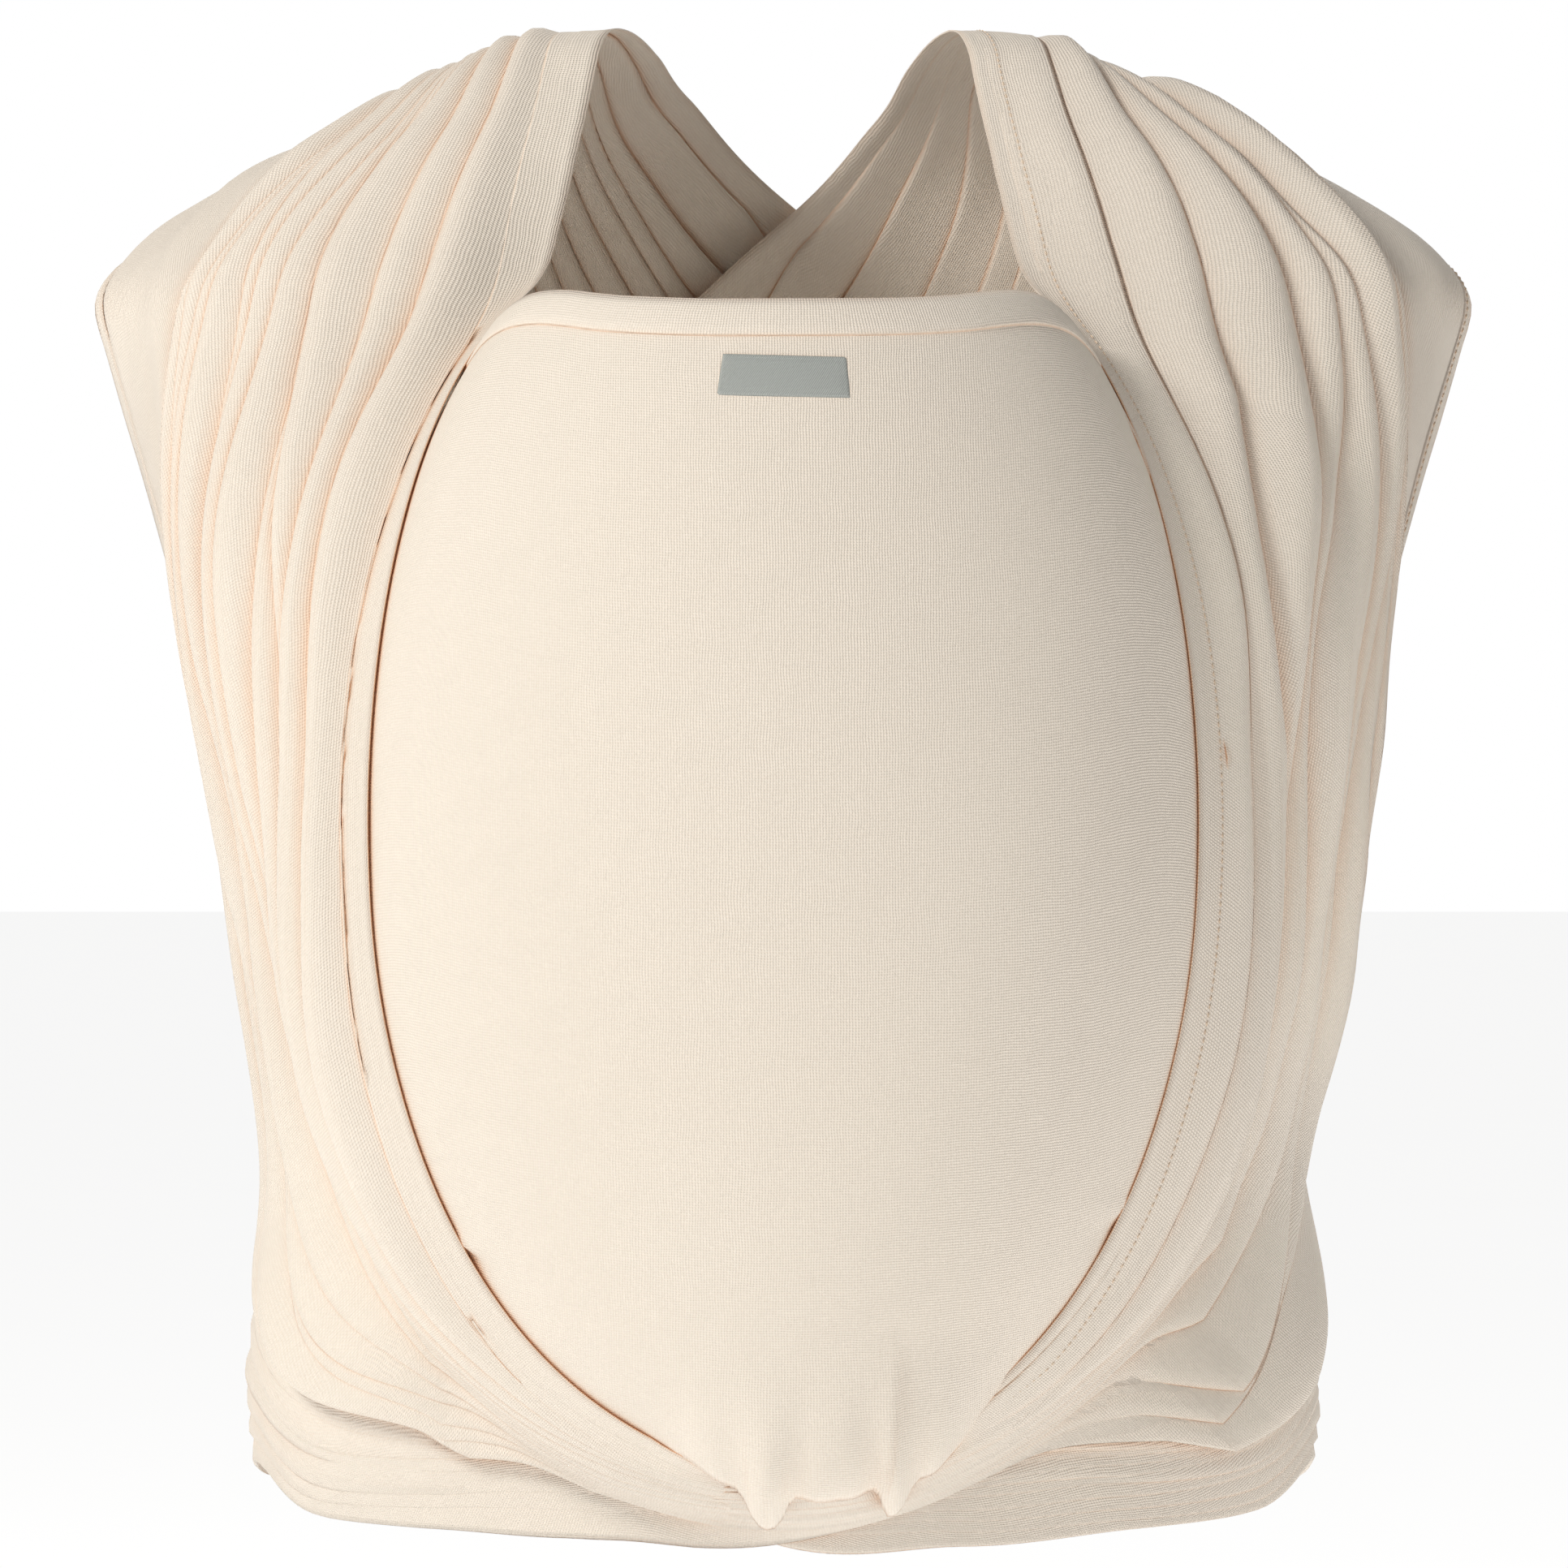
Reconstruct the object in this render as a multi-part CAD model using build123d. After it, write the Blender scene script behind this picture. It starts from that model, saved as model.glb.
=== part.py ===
"""Baby wrap sling: one long woven cloth, tied as a front carry, as its named runs.

The cloth lies on a body form, the wearer's torso with the baby in front, and every run is a thin
solid between two rails on that form. Millimetres, +Z up. The wearer faces -Y, so +X is the wearer's
left. The origin is on the wearer's body axis, level with the lowest edge of the sling at the front.
"""

from build123d import *
import math
import os

# Driving dimensions
SLING_HEIGHT = 537.0  # lowest front edge to the neck edge on the shoulder
CAP_HALF_WIDTH = 240.0  # midline to the corner of a shoulder cap, under the cloth
NECK_HALF_WIDTH = 59.0  # midline to the neck edge of a shoulder pass
WAIST_HALF_WIDTH = 155.0  # the wearer's waist
BABY_HALF_WIDTH = 148.0
BABY_FRONT = 190.0  # how far the baby's back stands in front of the body axis
HEM_WIDTH = 14.0  # folded hem along the panel's top edge
CAP_HEM_WIDTH = 11.0  # folded hem along a shoulder cap
LABEL_WIDTH = 42.0
LABEL_HEIGHT = 14.5

# Thicknesses of the packed cloth
PANEL_THICKNESS = 2.0  # one taut layer
PASS_THICKNESS = 3.0  # side and back passes
STRAP_THICKNESS = 6.0  # pleated straps and waist passes
CAP_THICKNESS = 2.0
LABEL_THICKNESS = 0.8
HEM_THICKNESS = 1.2
THREAD = 0.5
THREAD_GAP = 0.2
GAP = 0.5  # between layers that only touch on the real cloth

# The knot and the tails
KNOT_HEIGHT = 96.0
KNOT_FRONT = 126.0  # y of the face of the knot that lies on the wearer's back
TURN_LENGTH = 62.0
TURN_WIDTH = 30.0
TURN_DEPTH = 20.0
TURN_TILT = 20.0
TURN_ROUNDING = 8.0
TAIL_PIVOT_HEIGHT = 68.0
TAIL_PIVOT_BACK = 148.0
TAIL_THICKNESS = 10.0
TAIL_TOP_WIDTH = 26.0
TAIL_BOTTOM_WIDTH = 58.0
TAIL_LENGTH = 86.0  # below its pivot
TAIL_SLANT = 14.0  # the cut end of the cloth is slanted
TAIL_INNER = 3.0  # midline to the inner edge of a tail

# The body form
CENTRE = (0.0, -20.0, 268.0)  # every point of the cloth is seen from here
MID_Y = 15.0  # the plane of the shoulder ridges
SECTION_POWER = 2.3  # 2 is an ellipse, more is squarer
BABY_CENTRE = (0.0, -85.0, 232.0)
BABY_UP = 250.0
BABY_DOWN = 208.0
BODY_BLEND = 30.0  # how far taut cloth bridges the hollow between the torso and the baby
CAPE_BLEND = 12.0

# (height, half width, depth in front of MID_Y, depth behind MID_Y)
TORSO = (
    (-60.0, 150.0, 75.0, 95.0),
    (60.0, WAIST_HALF_WIDTH, 80.0, 102.0),
    (143.0, WAIST_HALF_WIDTH - 5.0, 80.0, 106.0),
    (260.0, WAIST_HALF_WIDTH + 3.0, 85.0, 112.0),
    (360.0, 163.0, 88.0, 112.0),
    (430.0, 158.0, 72.0, 100.0),
    (480.0, 140.0, 54.0, 82.0),
    (510.0, 108.0, 36.0, 58.0),
    (526.0, 66.0, 22.0, 32.0),
    (SLING_HEIGHT - 3.0, 10.0, 5.0, 6.0),
)
# The wider shape that the straps and caps hang on, over the arms and the baby's legs
CAPE = (
    (-60.0, 165.0, 100.0, 90.0),
    (60.0, 181.0, 110.0, 95.0),
    (143.0, 170.0, 116.0, 95.0),
    (215.0, 184.0, 140.0, 100.0),
    (316.0, 210.0, 145.0, 100.0),
    (420.0, CAP_HALF_WIDTH, 85.0, 90.0),
    (445.0, CAP_HALF_WIDTH, 72.0, 84.0),
    (478.0, 200.0, 56.0, 76.0),
    (497.0, 158.0, 44.0, 62.0),
    (512.0, 120.0, 34.0, 50.0),
    (526.0, 80.0, 24.0, 34.0),
    (SLING_HEIGHT - 2.0, 12.0, 5.0, 6.0),
)

# One half of the cloth, for the run over the wearer's left shoulder: from the panel's right side,
# under the right arm, up the back, over the left shoulder, down beside the baby, across under the
# seat and round the right side of the waist to the knot.
# (top selvage, bottom selvage, how far it is on the cape rather than the torso)
STATIONS = (
    ((-98.0, -86.0, 426.0), (-112.0, -92.0, 54.0), 0.0),  # 0 beside the panel
    ((-135.0, -58.0, 415.0), (-150.0, -58.0, 80.0), 0.0),  # 1
    ((-166.0, 0.0, 395.0), (-162.0, 5.0, 92.0), 0.0),  # 2 under the arm
    ((-150.0, 70.0, 390.0), (-138.0, 80.0, 118.0), 0.0),  # 3
    ((-85.0, 118.0, 415.0), (-75.0, 122.0, 170.0), 0.0),  # 4
    ((0.0, 112.0, 486.0), (5.0, 128.0, 245.0), 0.0),  # 5 middle of the back
    ((34.0, 76.0, 520.0), (105.0, 115.0, 350.0), 0.0),  # 6
    ((46.0, 46.0, 530.0), (172.0, 76.0, 420.0), 0.6),  # 7
    ((NECK_HALF_WIDTH, 12.0, SLING_HEIGHT), (247.0, 15.0, 447.0), 1.0),  # 8 shoulder ridge
    ((70.0, -22.0, 512.0), (243.0, -12.0, 396.0), 1.0),  # 9
    ((84.0, -48.0, 470.0), (228.0, -24.0, 346.0), 1.0),  # 10
    ((101.0, -75.0, 426.0), (210.0, -30.0, 290.0), 1.0),  # 11
    ((120.0, -100.0, 368.0), (200.0, -20.0, 240.0), 1.0),  # 12
    ((134.0, -118.0, 308.0), (193.0, -6.0, 198.0), 1.0),  # 13
    ((139.0, -128.0, 250.0), (186.0, 4.0, 158.0), 1.0),  # 14
    ((133.0, -131.0, 190.0), (180.0, -2.0, 120.0), 1.0),  # 15
    ((114.0, -131.0, 128.0), (166.0, -26.0, 84.0), 1.0),  # 16
    ((84.0, -130.0, 78.0), (128.0, -62.0, 54.0), 1.0),  # 17
    ((44.0, -128.0, 46.0), (70.0, -92.0, 21.0), 1.0),  # 18
    ((0.0, -126.0, 34.0), (0.0, -104.0, 8.0), 1.0),  # 19 under the seat
    ((-54.0, -120.0, 38.0), (-58.0, -98.0, 13.0), 1.0),  # 20
    ((-102.0, -98.0, 54.0), (-112.0, -78.0, 26.0), 1.0),  # 21
    ((-145.0, -62.0, 86.0), (-155.0, -42.0, 40.0), 1.0),  # 22
    ((-174.0, -5.0, 128.0), (-180.0, 0.0, 50.0), 1.0),  # 23 beside the waist
    ((-160.0, 62.0, 132.0), (-155.0, 68.0, 56.0), 1.0),  # 24
    ((-100.0, 108.0, 122.0), (-95.0, 110.0, 66.0), 1.0),  # 25
    ((-32.0, 128.0, 112.0), (-32.0, 128.0, 80.0), 1.0),  # 26 at the knot
)
# Where each run of the cloth ends, as positions between the stations
ARM_END, STRAP_START, CROSS_START, CROSS_END, KNOT_END = 3, 9, 18, 20, 26
CAP_START, CAP_END = 7, 12
CAP_TRIM = 0.25  # the cap's ends are cut off where it gets too narrow
CAP_WIDTH_SHARE = 0.44  # of the cloth's width, at its widest
CAP_GAP_SHARE = 0.012  # between the cap and the strap
CAP_ROUNDNESS = 0.6  # 1 narrows the cap like a sine wave, less keeps it wide for longer

# (station, height of the cloth's inner face above the form) of each half
LEFT_LIFTS = ((0, 0), (7, 0), (8, 5), (12, 5), (15, 14), (23, 14), (25, 17), (26, 17))
RIGHT_LIFTS = ((0, 0), (2, 0), (3, 10), (6, 10), (7, 4), (8, 5), (23, 5), (25, 17), (26, 17))

# (top edge, bottom edge) of the panel over the baby, from the midline to beside station 0
PANEL_STATIONS = (
    ((-98.0, -86.0, 426.0), (-112.0, -92.0, 54.0)),
    ((-52.0, -136.0, 426.0), (-64.0, -80.0, 29.0)),
    ((0.0, -150.0, 426.0), (0.0, -76.0, 28.0)),
    ((52.0, -136.0, 426.0), (64.0, -80.0, 29.0)),
    ((98.0, -86.0, 426.0), (112.0, -92.0, 54.0)),
)
LABEL_MIDDLE = (0.0, -162.0, 399.0)
LABEL_TILT = 1.5  # degrees
STITCH_INSET = 1.2  # from the label's edge to its thread
PANEL_LENGTH = 440.0  # down the panel's middle, from the top edge
CLOTH_ACROSS_SHOULDER = 215.0
FARTHEST_REACH = 600.0  # beyond every point of the form, from CENTRE
REACH_TOLERANCE = 0.02

POINTS_ACROSS = 15
SECTIONS_PER_STATION = 4
PANEL_SECTIONS = 4  # from one panel station to the next
LABEL_SECTIONS = 4


def between(low, high, share):
    """The value that lies this share of the way from low to high."""
    return low + (high - low) * share


def smooth_row(rows, value):
    """A row of numbers at value, through rows whose first number is the key, as a smooth curve."""
    keys = [row[0] for row in rows]
    value = min(max(value, keys[0]), keys[-1])
    i = max(k for k in range(len(keys) - 1) if keys[k] <= value)
    span = keys[i + 1] - keys[i]
    share = (value - keys[i]) / span
    before = rows[max(i - 1, 0)]
    after = rows[min(i + 2, len(rows) - 1)]
    result = []
    for column in range(1, len(rows[0])):
        start, end = rows[i][column], rows[i + 1][column]
        slope_in = (end - before[column]) / (keys[i + 1] - before[0]) * span
        slope_out = (after[column] - start) / (after[0] - keys[i]) * span
        result.append(
            (2 * share**3 - 3 * share**2 + 1) * start
            + (share**3 - 2 * share**2 + share) * slope_in
            + (3 * share**2 - 2 * share**3) * end
            + (share**3 - share**2) * slope_out
        )
    return result


def outside_body(profile, x, y, z):
    """Above 0 where the point is outside the body with this profile of sections."""
    if not profile[0][0] < z < profile[-1][0]:
        return 1.0
    half_width, front, back = smooth_row(profile, z)
    depth = front if y < MID_Y else back
    across = abs(x / half_width) ** SECTION_POWER
    return across + abs((y - MID_Y) / depth) ** SECTION_POWER - 1.0


def outside_baby(_, x, y, z):
    """Above 0 where the point is outside the baby."""
    up = z - BABY_CENTRE[2]
    height = BABY_UP if up > 0 else BABY_DOWN
    depth = BABY_FRONT + BABY_CENTRE[1]
    across = (x / BABY_HALF_WIDTH) ** 2
    return across + ((y - BABY_CENTRE[1]) / depth) ** 2 + (up / height) ** 2 - 1.0


def reach(outside, profile, direction):
    """How far from CENTRE a shape reaches in this direction."""
    near, far = 0.0, FARTHEST_REACH
    while far - near > REACH_TOLERANCE:
        middle = (near + far) / 2
        point = [CENTRE[i] + middle * direction[i] for i in range(3)]
        if outside(profile, *point) > 0:
            far = middle
        else:
            near = middle
    return near


def soft_max(first, second, blend):
    """The larger of two lengths, rounded off where they are nearly equal."""
    return (first + second + math.hypot(first - second, blend)) / 2


def form_reach(direction, on_cape):
    """How far the form reaches: 0 for torso and baby, 1 for the cape over them."""
    torso = reach(outside_body, TORSO, direction)
    body = soft_max(torso, reach(outside_baby, None, direction), BODY_BLEND)
    if on_cape == 0:
        return body
    cape = soft_max(body, reach(outside_body, CAPE, direction), CAPE_BLEND)
    return between(body, cape, on_cape)


def unit(vector):
    """The same direction with length 1."""
    length = math.sqrt(sum(part * part for part in vector))
    return [part / length for part in vector]


def towards(point):
    """The direction from CENTRE to a point."""
    return unit([point[i] - CENTRE[i] for i in range(3)])


def turn_between(first, second, share):
    """A direction on the shortest turn between two directions, in one plane with both."""
    angle = math.acos(min(1.0, sum(first[i] * second[i] for i in range(3))))
    start = math.sin((1 - share) * angle) / math.sin(angle)
    end = math.sin(share * angle) / math.sin(angle)
    return [start * first[i] + end * second[i] for i in range(3)]


def mirrored(point, side):
    """The point on the wearer's left (side 1) or right (side -1)."""
    return (point[0] * side, point[1], point[2])


def run_station(side, position):
    """Both selvages and the cape share at a position along one half of the cloth."""
    rows = [
        (i, *mirrored(top, side), *mirrored(bottom, side), on_cape)
        for i, (top, bottom, on_cape) in enumerate(STATIONS)
    ]
    row = smooth_row(rows, position)
    return row[:3], row[3:6], min(max(row[6], 0.0), 1.0)


def lift_at(side, position):
    """Height of the cloth above the form, straight from one named station to the next."""
    lifts = LEFT_LIFTS if side > 0 else RIGHT_LIFTS
    i = max(k for k in range(len(lifts) - 1) if lifts[k][0] <= position)
    share = (position - lifts[i][0]) / (lifts[i + 1][0] - lifts[i][0])
    return between(lifts[i][1], lifts[i + 1][1], share)


def section(top, bottom, on_cape, lift, thickness):
    """The closed outline of a band between two points, in one plane with CENTRE."""
    directions = [
        turn_between(towards(top), towards(bottom), i / (POINTS_ACROSS - 1))
        for i in range(POINTS_ACROSS)
    ]
    reaches = [form_reach(direction, on_cape) for direction in directions]

    def face(height):
        return [
            tuple(CENTRE[k] + (r + height) * d[k] for k in range(3))
            for r, d in zip(reaches, directions)
        ]

    inner, outer = face(lift), face(lift + thickness)
    steps = [i / (POINTS_ACROSS - 1) for i in range(POINTS_ACROSS)]
    return Wire(
        [
            Edge.make_spline([Vector(p) for p in outer], parameters=steps),
            Edge.make_line(outer[-1], inner[-1]),
            Edge.make_spline([Vector(p) for p in reversed(inner)], parameters=steps),
            Edge.make_line(inner[0], outer[0]),
        ]
    )


def band(sections, straight=False):
    """One closed solid through a list of sections, with straight runs between them if asked."""
    return Solid.make_loft(sections, straight)


def positions(start, end):
    """Evenly spaced positions along the cloth, from start to end."""
    count = max(3, math.ceil((end - start) * SECTIONS_PER_STATION))
    return [between(start, end, i / count) for i in range(count + 1)]


def point_across(top, bottom, share):
    """A guide point between the two selvages, in one plane with both and CENTRE."""
    direction = turn_between(towards(top), towards(bottom), share)
    return [CENTRE[i] + direction[i] * SLING_HEIGHT / 2 for i in range(3)]


def run_band(side, start, end, shares=(0.0, 1.0), raised=0.0, thickness=STRAP_THICKNESS):
    """One run of the cloth: shares say which strip of its width it is, between the selvages."""
    sections = []
    for position in positions(start, end):
        top, bottom, on_cape = run_station(side, position)
        low = shares[0](position) if callable(shares[0]) else shares[0]
        high = shares[1](position) if callable(shares[1]) else shares[1]
        first = point_across(top, bottom, low)
        last = point_across(top, bottom, high)
        height = lift_at(side, position) + raised
        sections.append(section(first, last, on_cape, height, thickness))
    return band(sections, straight=thickness <= CAP_THICKNESS)


def panel_strip(low, high, raised, thickness):
    """A strip of the panel's height: low and high are shares of it, down from the top edge."""
    rows = [(i, *top, *bottom) for i, (top, bottom) in enumerate(PANEL_STATIONS)]
    last = len(PANEL_STATIONS) - 1
    count = last * PANEL_SECTIONS
    sections = []
    for i in range(count + 1):
        row = smooth_row(rows, last * i / count)
        first = point_across(row[:3], row[3:], low)
        final = point_across(row[:3], row[3:], high)
        sections.append(section(first, final, 0.0, raised, thickness))
    return band(sections)


def label_patch(left, right, low, high, raised, thickness):
    """A small patch on the panel, from left to right and low to high about the label's middle."""
    tilt = math.radians(LABEL_TILT)
    sections = []
    for i in range(LABEL_SECTIONS + 1):
        across = between(left, right, i / LABEL_SECTIONS)
        ends = []
        for up in (high, low):
            x = across * math.cos(tilt) + up * math.sin(tilt)
            z = up * math.cos(tilt) - across * math.sin(tilt)
            ends.append((LABEL_MIDDLE[0] + x, LABEL_MIDDLE[1], LABEL_MIDDLE[2] + z))
        sections.append(section(*ends, 0.0, raised, thickness))
    return band(sections)


def make_label():
    """The blank woven label under the panel's top hem."""
    half_width, half_height = LABEL_WIDTH / 2, LABEL_HEIGHT / 2
    lift = PANEL_THICKNESS + THREAD_GAP
    return label_patch(-half_width, half_width, -half_height, half_height, lift, LABEL_THICKNESS)


def make_label_stitching():
    """The thread that sews the label down, a ring of four rows near its edge."""
    half_width, half_height = LABEL_WIDTH / 2 - STITCH_INSET, LABEL_HEIGHT / 2 - STITCH_INSET
    inner_width, inner_height = half_width - THREAD, half_height - THREAD
    lift = PANEL_THICKNESS + LABEL_THICKNESS + 2 * THREAD_GAP
    side = inner_height - THREAD_GAP
    rows = (
        (-half_width, half_width, inner_height, half_height),
        (-half_width, half_width, -half_height, -inner_height),
        (-half_width, -inner_width, -side, side),
        (inner_width, half_width, -side, side),
    )
    return Compound([label_patch(*row, lift, THREAD) for row in rows])


def cap_edge(position):
    """Where the cap begins across the cloth: it narrows to nothing at both ends of the cap."""
    share = (position - CAP_START) / (CAP_END - CAP_START)
    width = math.sin(math.pi * min(max(share, 0.0), 1.0)) ** CAP_ROUNDNESS
    return 1.0 - CAP_WIDTH_SHARE * width


def strap_edge(position):
    """The strap's outer edge, just short of the cap."""
    edge = cap_edge(position)
    return edge - CAP_GAP_SHARE if edge < 1.0 else edge


def make_cap(side):
    """The outer part of the cloth over one shoulder, which lies loose over the upper arm."""
    start, end = CAP_START + CAP_TRIM, CAP_END - CAP_TRIM
    raised = (STRAP_THICKNESS - CAP_THICKNESS) / 2
    return run_band(side, start, end, (cap_edge, 1.0), raised, CAP_THICKNESS)


def make_cap_stitching(side):
    """The thread row of the hem along a cap's free edge."""
    start, end = CAP_START + 2 * CAP_TRIM, CAP_END - 2 * CAP_TRIM
    raised = (STRAP_THICKNESS + CAP_THICKNESS) / 2 + 2 * THREAD_GAP
    row = CAP_HEM_WIDTH / CLOTH_ACROSS_SHOULDER
    thread = THREAD / CLOTH_ACROSS_SHOULDER
    return run_band(side, start, end, (1.0 - row - thread, 1.0 - row), raised, THREAD)


def make_knot_turn(side):
    """One turn of the knot: a rounded bar, the right one against the back, the left one over it."""
    depth = TURN_DEPTH
    front = KNOT_FRONT if side < 0 else KNOT_FRONT + depth + GAP
    outline = SlotOverall(TURN_LENGTH, TURN_WIDTH, rotation=TURN_TILT * side)
    bar = extrude(Plane.XZ * outline, amount=-depth)
    bar = fillet(bar.edges().group_by(Axis.Y)[0] + bar.edges().group_by(Axis.Y)[-1], TURN_ROUNDING)
    return Pos(0, front, KNOT_HEIGHT) * bar


def make_tail(side):
    """One free end of the cloth, hanging from the knot, with a round top about its pivot."""
    radius = TAIL_THICKNESS / 2
    top_outer = TAIL_INNER + TAIL_TOP_WIDTH
    bottom_outer = TAIL_INNER + TAIL_BOTTOM_WIDTH
    outline = Polyline(
        (TAIL_INNER, 0),
        (top_outer, 0),
        (bottom_outer, TAIL_SLANT - TAIL_LENGTH),
        (TAIL_INNER, -TAIL_LENGTH),
        close=True,
    )
    plate = extrude(Plane.XZ * make_face(outline), amount=radius, both=True)
    boss = Rot(0, 90, 0) * Cylinder(radius, TAIL_TOP_WIDTH)
    tail = plate + Pos(TAIL_INNER + TAIL_TOP_WIDTH / 2, 0, 0) * boss
    tail = Pos(0, TAIL_PIVOT_BACK, TAIL_PIVOT_HEIGHT) * tail
    return tail if side > 0 else mirror(tail, Plane.YZ)


def make_half(side):
    """The runs of one half of the cloth. Its first and last runs lie on the other side."""
    here, there = ("left", "right") if side > 0 else ("right", "left")
    layer = "outer" if side > 0 else "inner"
    strap = (0.0, strap_edge)
    return {
        f"{there}_side_pass": run_band(side, 0, ARM_END, thickness=PASS_THICKNESS),
        f"{here}_back_pass": run_band(side, ARM_END, CAP_START, thickness=PASS_THICKNESS),
        f"{here}_shoulder_pass": run_band(side, CAP_START, STRAP_START, strap),
        f"{here}_shoulder_cap": make_cap(side),
        f"{here}_cap_stitching": make_cap_stitching(side),
        f"{here}_front_strap": run_band(side, STRAP_START, CROSS_START, strap),
        f"{layer}_seat_cross": run_band(side, CROSS_START, CROSS_END),
        f"{there}_waist_pass": run_band(side, CROSS_END, KNOT_END),
        f"{here}_knot_turn": make_knot_turn(side),
        f"{here}_tail": make_tail(side),
    }


def make_panel():
    """The taut middle of the cloth over the baby, with its top hem, stitching and label."""
    hem = HEM_WIDTH / PANEL_LENGTH
    thread = THREAD / PANEL_LENGTH
    over_panel = PANEL_THICKNESS + THREAD_GAP
    over_hem = over_panel + HEM_THICKNESS + THREAD_GAP
    return {
        "front_panel": panel_strip(0.0, 1.0, 0.0, PANEL_THICKNESS),
        "panel_top_hem": panel_strip(0.0, hem, over_panel, HEM_THICKNESS),
        "panel_hem_stitching": panel_strip(hem - 2 * thread, hem - thread, over_hem, THREAD),
        "label": make_label(),
        "label_stitching": make_label_stitching(),
    }


os.makedirs("parts", exist_ok=True)
for name, solid in {**make_panel(), **make_half(1), **make_half(-1)}.items():
    export_step(solid, f"parts/{name}.step")
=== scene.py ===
"""How the baby wrap sling looks: one pleated cotton cloth, its hems, stitching, label and knot."""

import math

import bpy
import numpy as np
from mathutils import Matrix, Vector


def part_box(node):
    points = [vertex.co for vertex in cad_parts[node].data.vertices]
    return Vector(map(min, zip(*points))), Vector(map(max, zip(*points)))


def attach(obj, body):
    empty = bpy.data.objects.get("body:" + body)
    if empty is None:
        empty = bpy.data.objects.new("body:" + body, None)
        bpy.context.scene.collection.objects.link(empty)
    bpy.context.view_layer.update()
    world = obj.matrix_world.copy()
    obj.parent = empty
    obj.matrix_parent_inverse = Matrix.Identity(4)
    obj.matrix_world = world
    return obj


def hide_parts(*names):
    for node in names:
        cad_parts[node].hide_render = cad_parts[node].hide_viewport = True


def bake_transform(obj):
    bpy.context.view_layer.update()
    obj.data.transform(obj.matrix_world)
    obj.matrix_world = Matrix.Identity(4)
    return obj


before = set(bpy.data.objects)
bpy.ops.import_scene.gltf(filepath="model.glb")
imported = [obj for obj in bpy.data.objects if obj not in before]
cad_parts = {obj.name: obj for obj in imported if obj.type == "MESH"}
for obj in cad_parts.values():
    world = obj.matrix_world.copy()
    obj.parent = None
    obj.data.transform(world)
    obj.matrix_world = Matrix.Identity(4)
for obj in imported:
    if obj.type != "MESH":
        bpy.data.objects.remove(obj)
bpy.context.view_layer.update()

# ---- Sizes, in metres ----
MM = 0.001
TURN = 2 * math.pi
CLOTH_WIDTH = 0.70  # the cut
CLOTH_THICKNESS = 0.6 * MM
HEM = 11 * MM
PANEL_HEM = 14 * MM
HEM_RISE = 0.7 * MM
HEM_PLACES = (0.0, 0.35, 0.7, 0.97, 1.03, 1.3)  # columns through a hem, over its width
HEM_END = HEM_PLACES[-1]
NARROW = 60 * MM  # where the cloth is bunched narrower than this, its hems bunch with it
NARROWEST_HEM = 0.2  # share of its width that a bunched hem keeps
STITCH_PITCH = 2.9 * MM
STITCH_LENGTH = 2.3 * MM
STITCH_RADIUS = 0.27 * MM
WEAVE_REPEAT = 1.9 * MM

# ---- The body form, as the frame has it ----
CENTRE = np.array((0.0, -20.0, 268.0)) * MM
MID_Y = 15 * MM
SECTION_POWER = 2.3
BABY_CENTRE = np.array((0.0, -85.0, 232.0)) * MM
BABY_HALF_WIDTH = 148 * MM
BABY_DEPTH = 105 * MM
BABY_UP = 250 * MM
BABY_DOWN = 208 * MM
BODY_BLEND = 30 * MM
CAPE_BLEND = 12 * MM
FARTHEST = 0.6  # no part of the form is this far from CENTRE
HALVINGS = 17

# The wearer: (height, half width, depth in front of MID_Y, depth behind MID_Y), in millimetres
TORSO = (
    (-60, 150, 75, 95),
    (60, 155, 80, 102),
    (143, 150, 80, 106),
    (260, 158, 85, 112),
    (360, 163, 88, 112),
    (430, 158, 72, 100),
    (480, 140, 54, 82),
    (510, 108, 36, 58),
    (526, 66, 22, 32),
    (534, 10, 5, 6),
)
# The shape over the torso and the baby that the straps lie on, in the same columns
CAPE = (
    (-60, 165, 100, 90),
    (60, 187, 110, 95),
    (143, 170, 116, 95),
    (215, 184, 140, 100),
    (316, 210, 145, 100),
    (420, 240, 85, 90),
    (445, 240, 72, 84),
    (478, 200, 56, 76),
    (497, 158, 44, 62),
    (512, 120, 34, 50),
    (526, 80, 24, 34),
    (535, 12, 5, 6),
)

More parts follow.
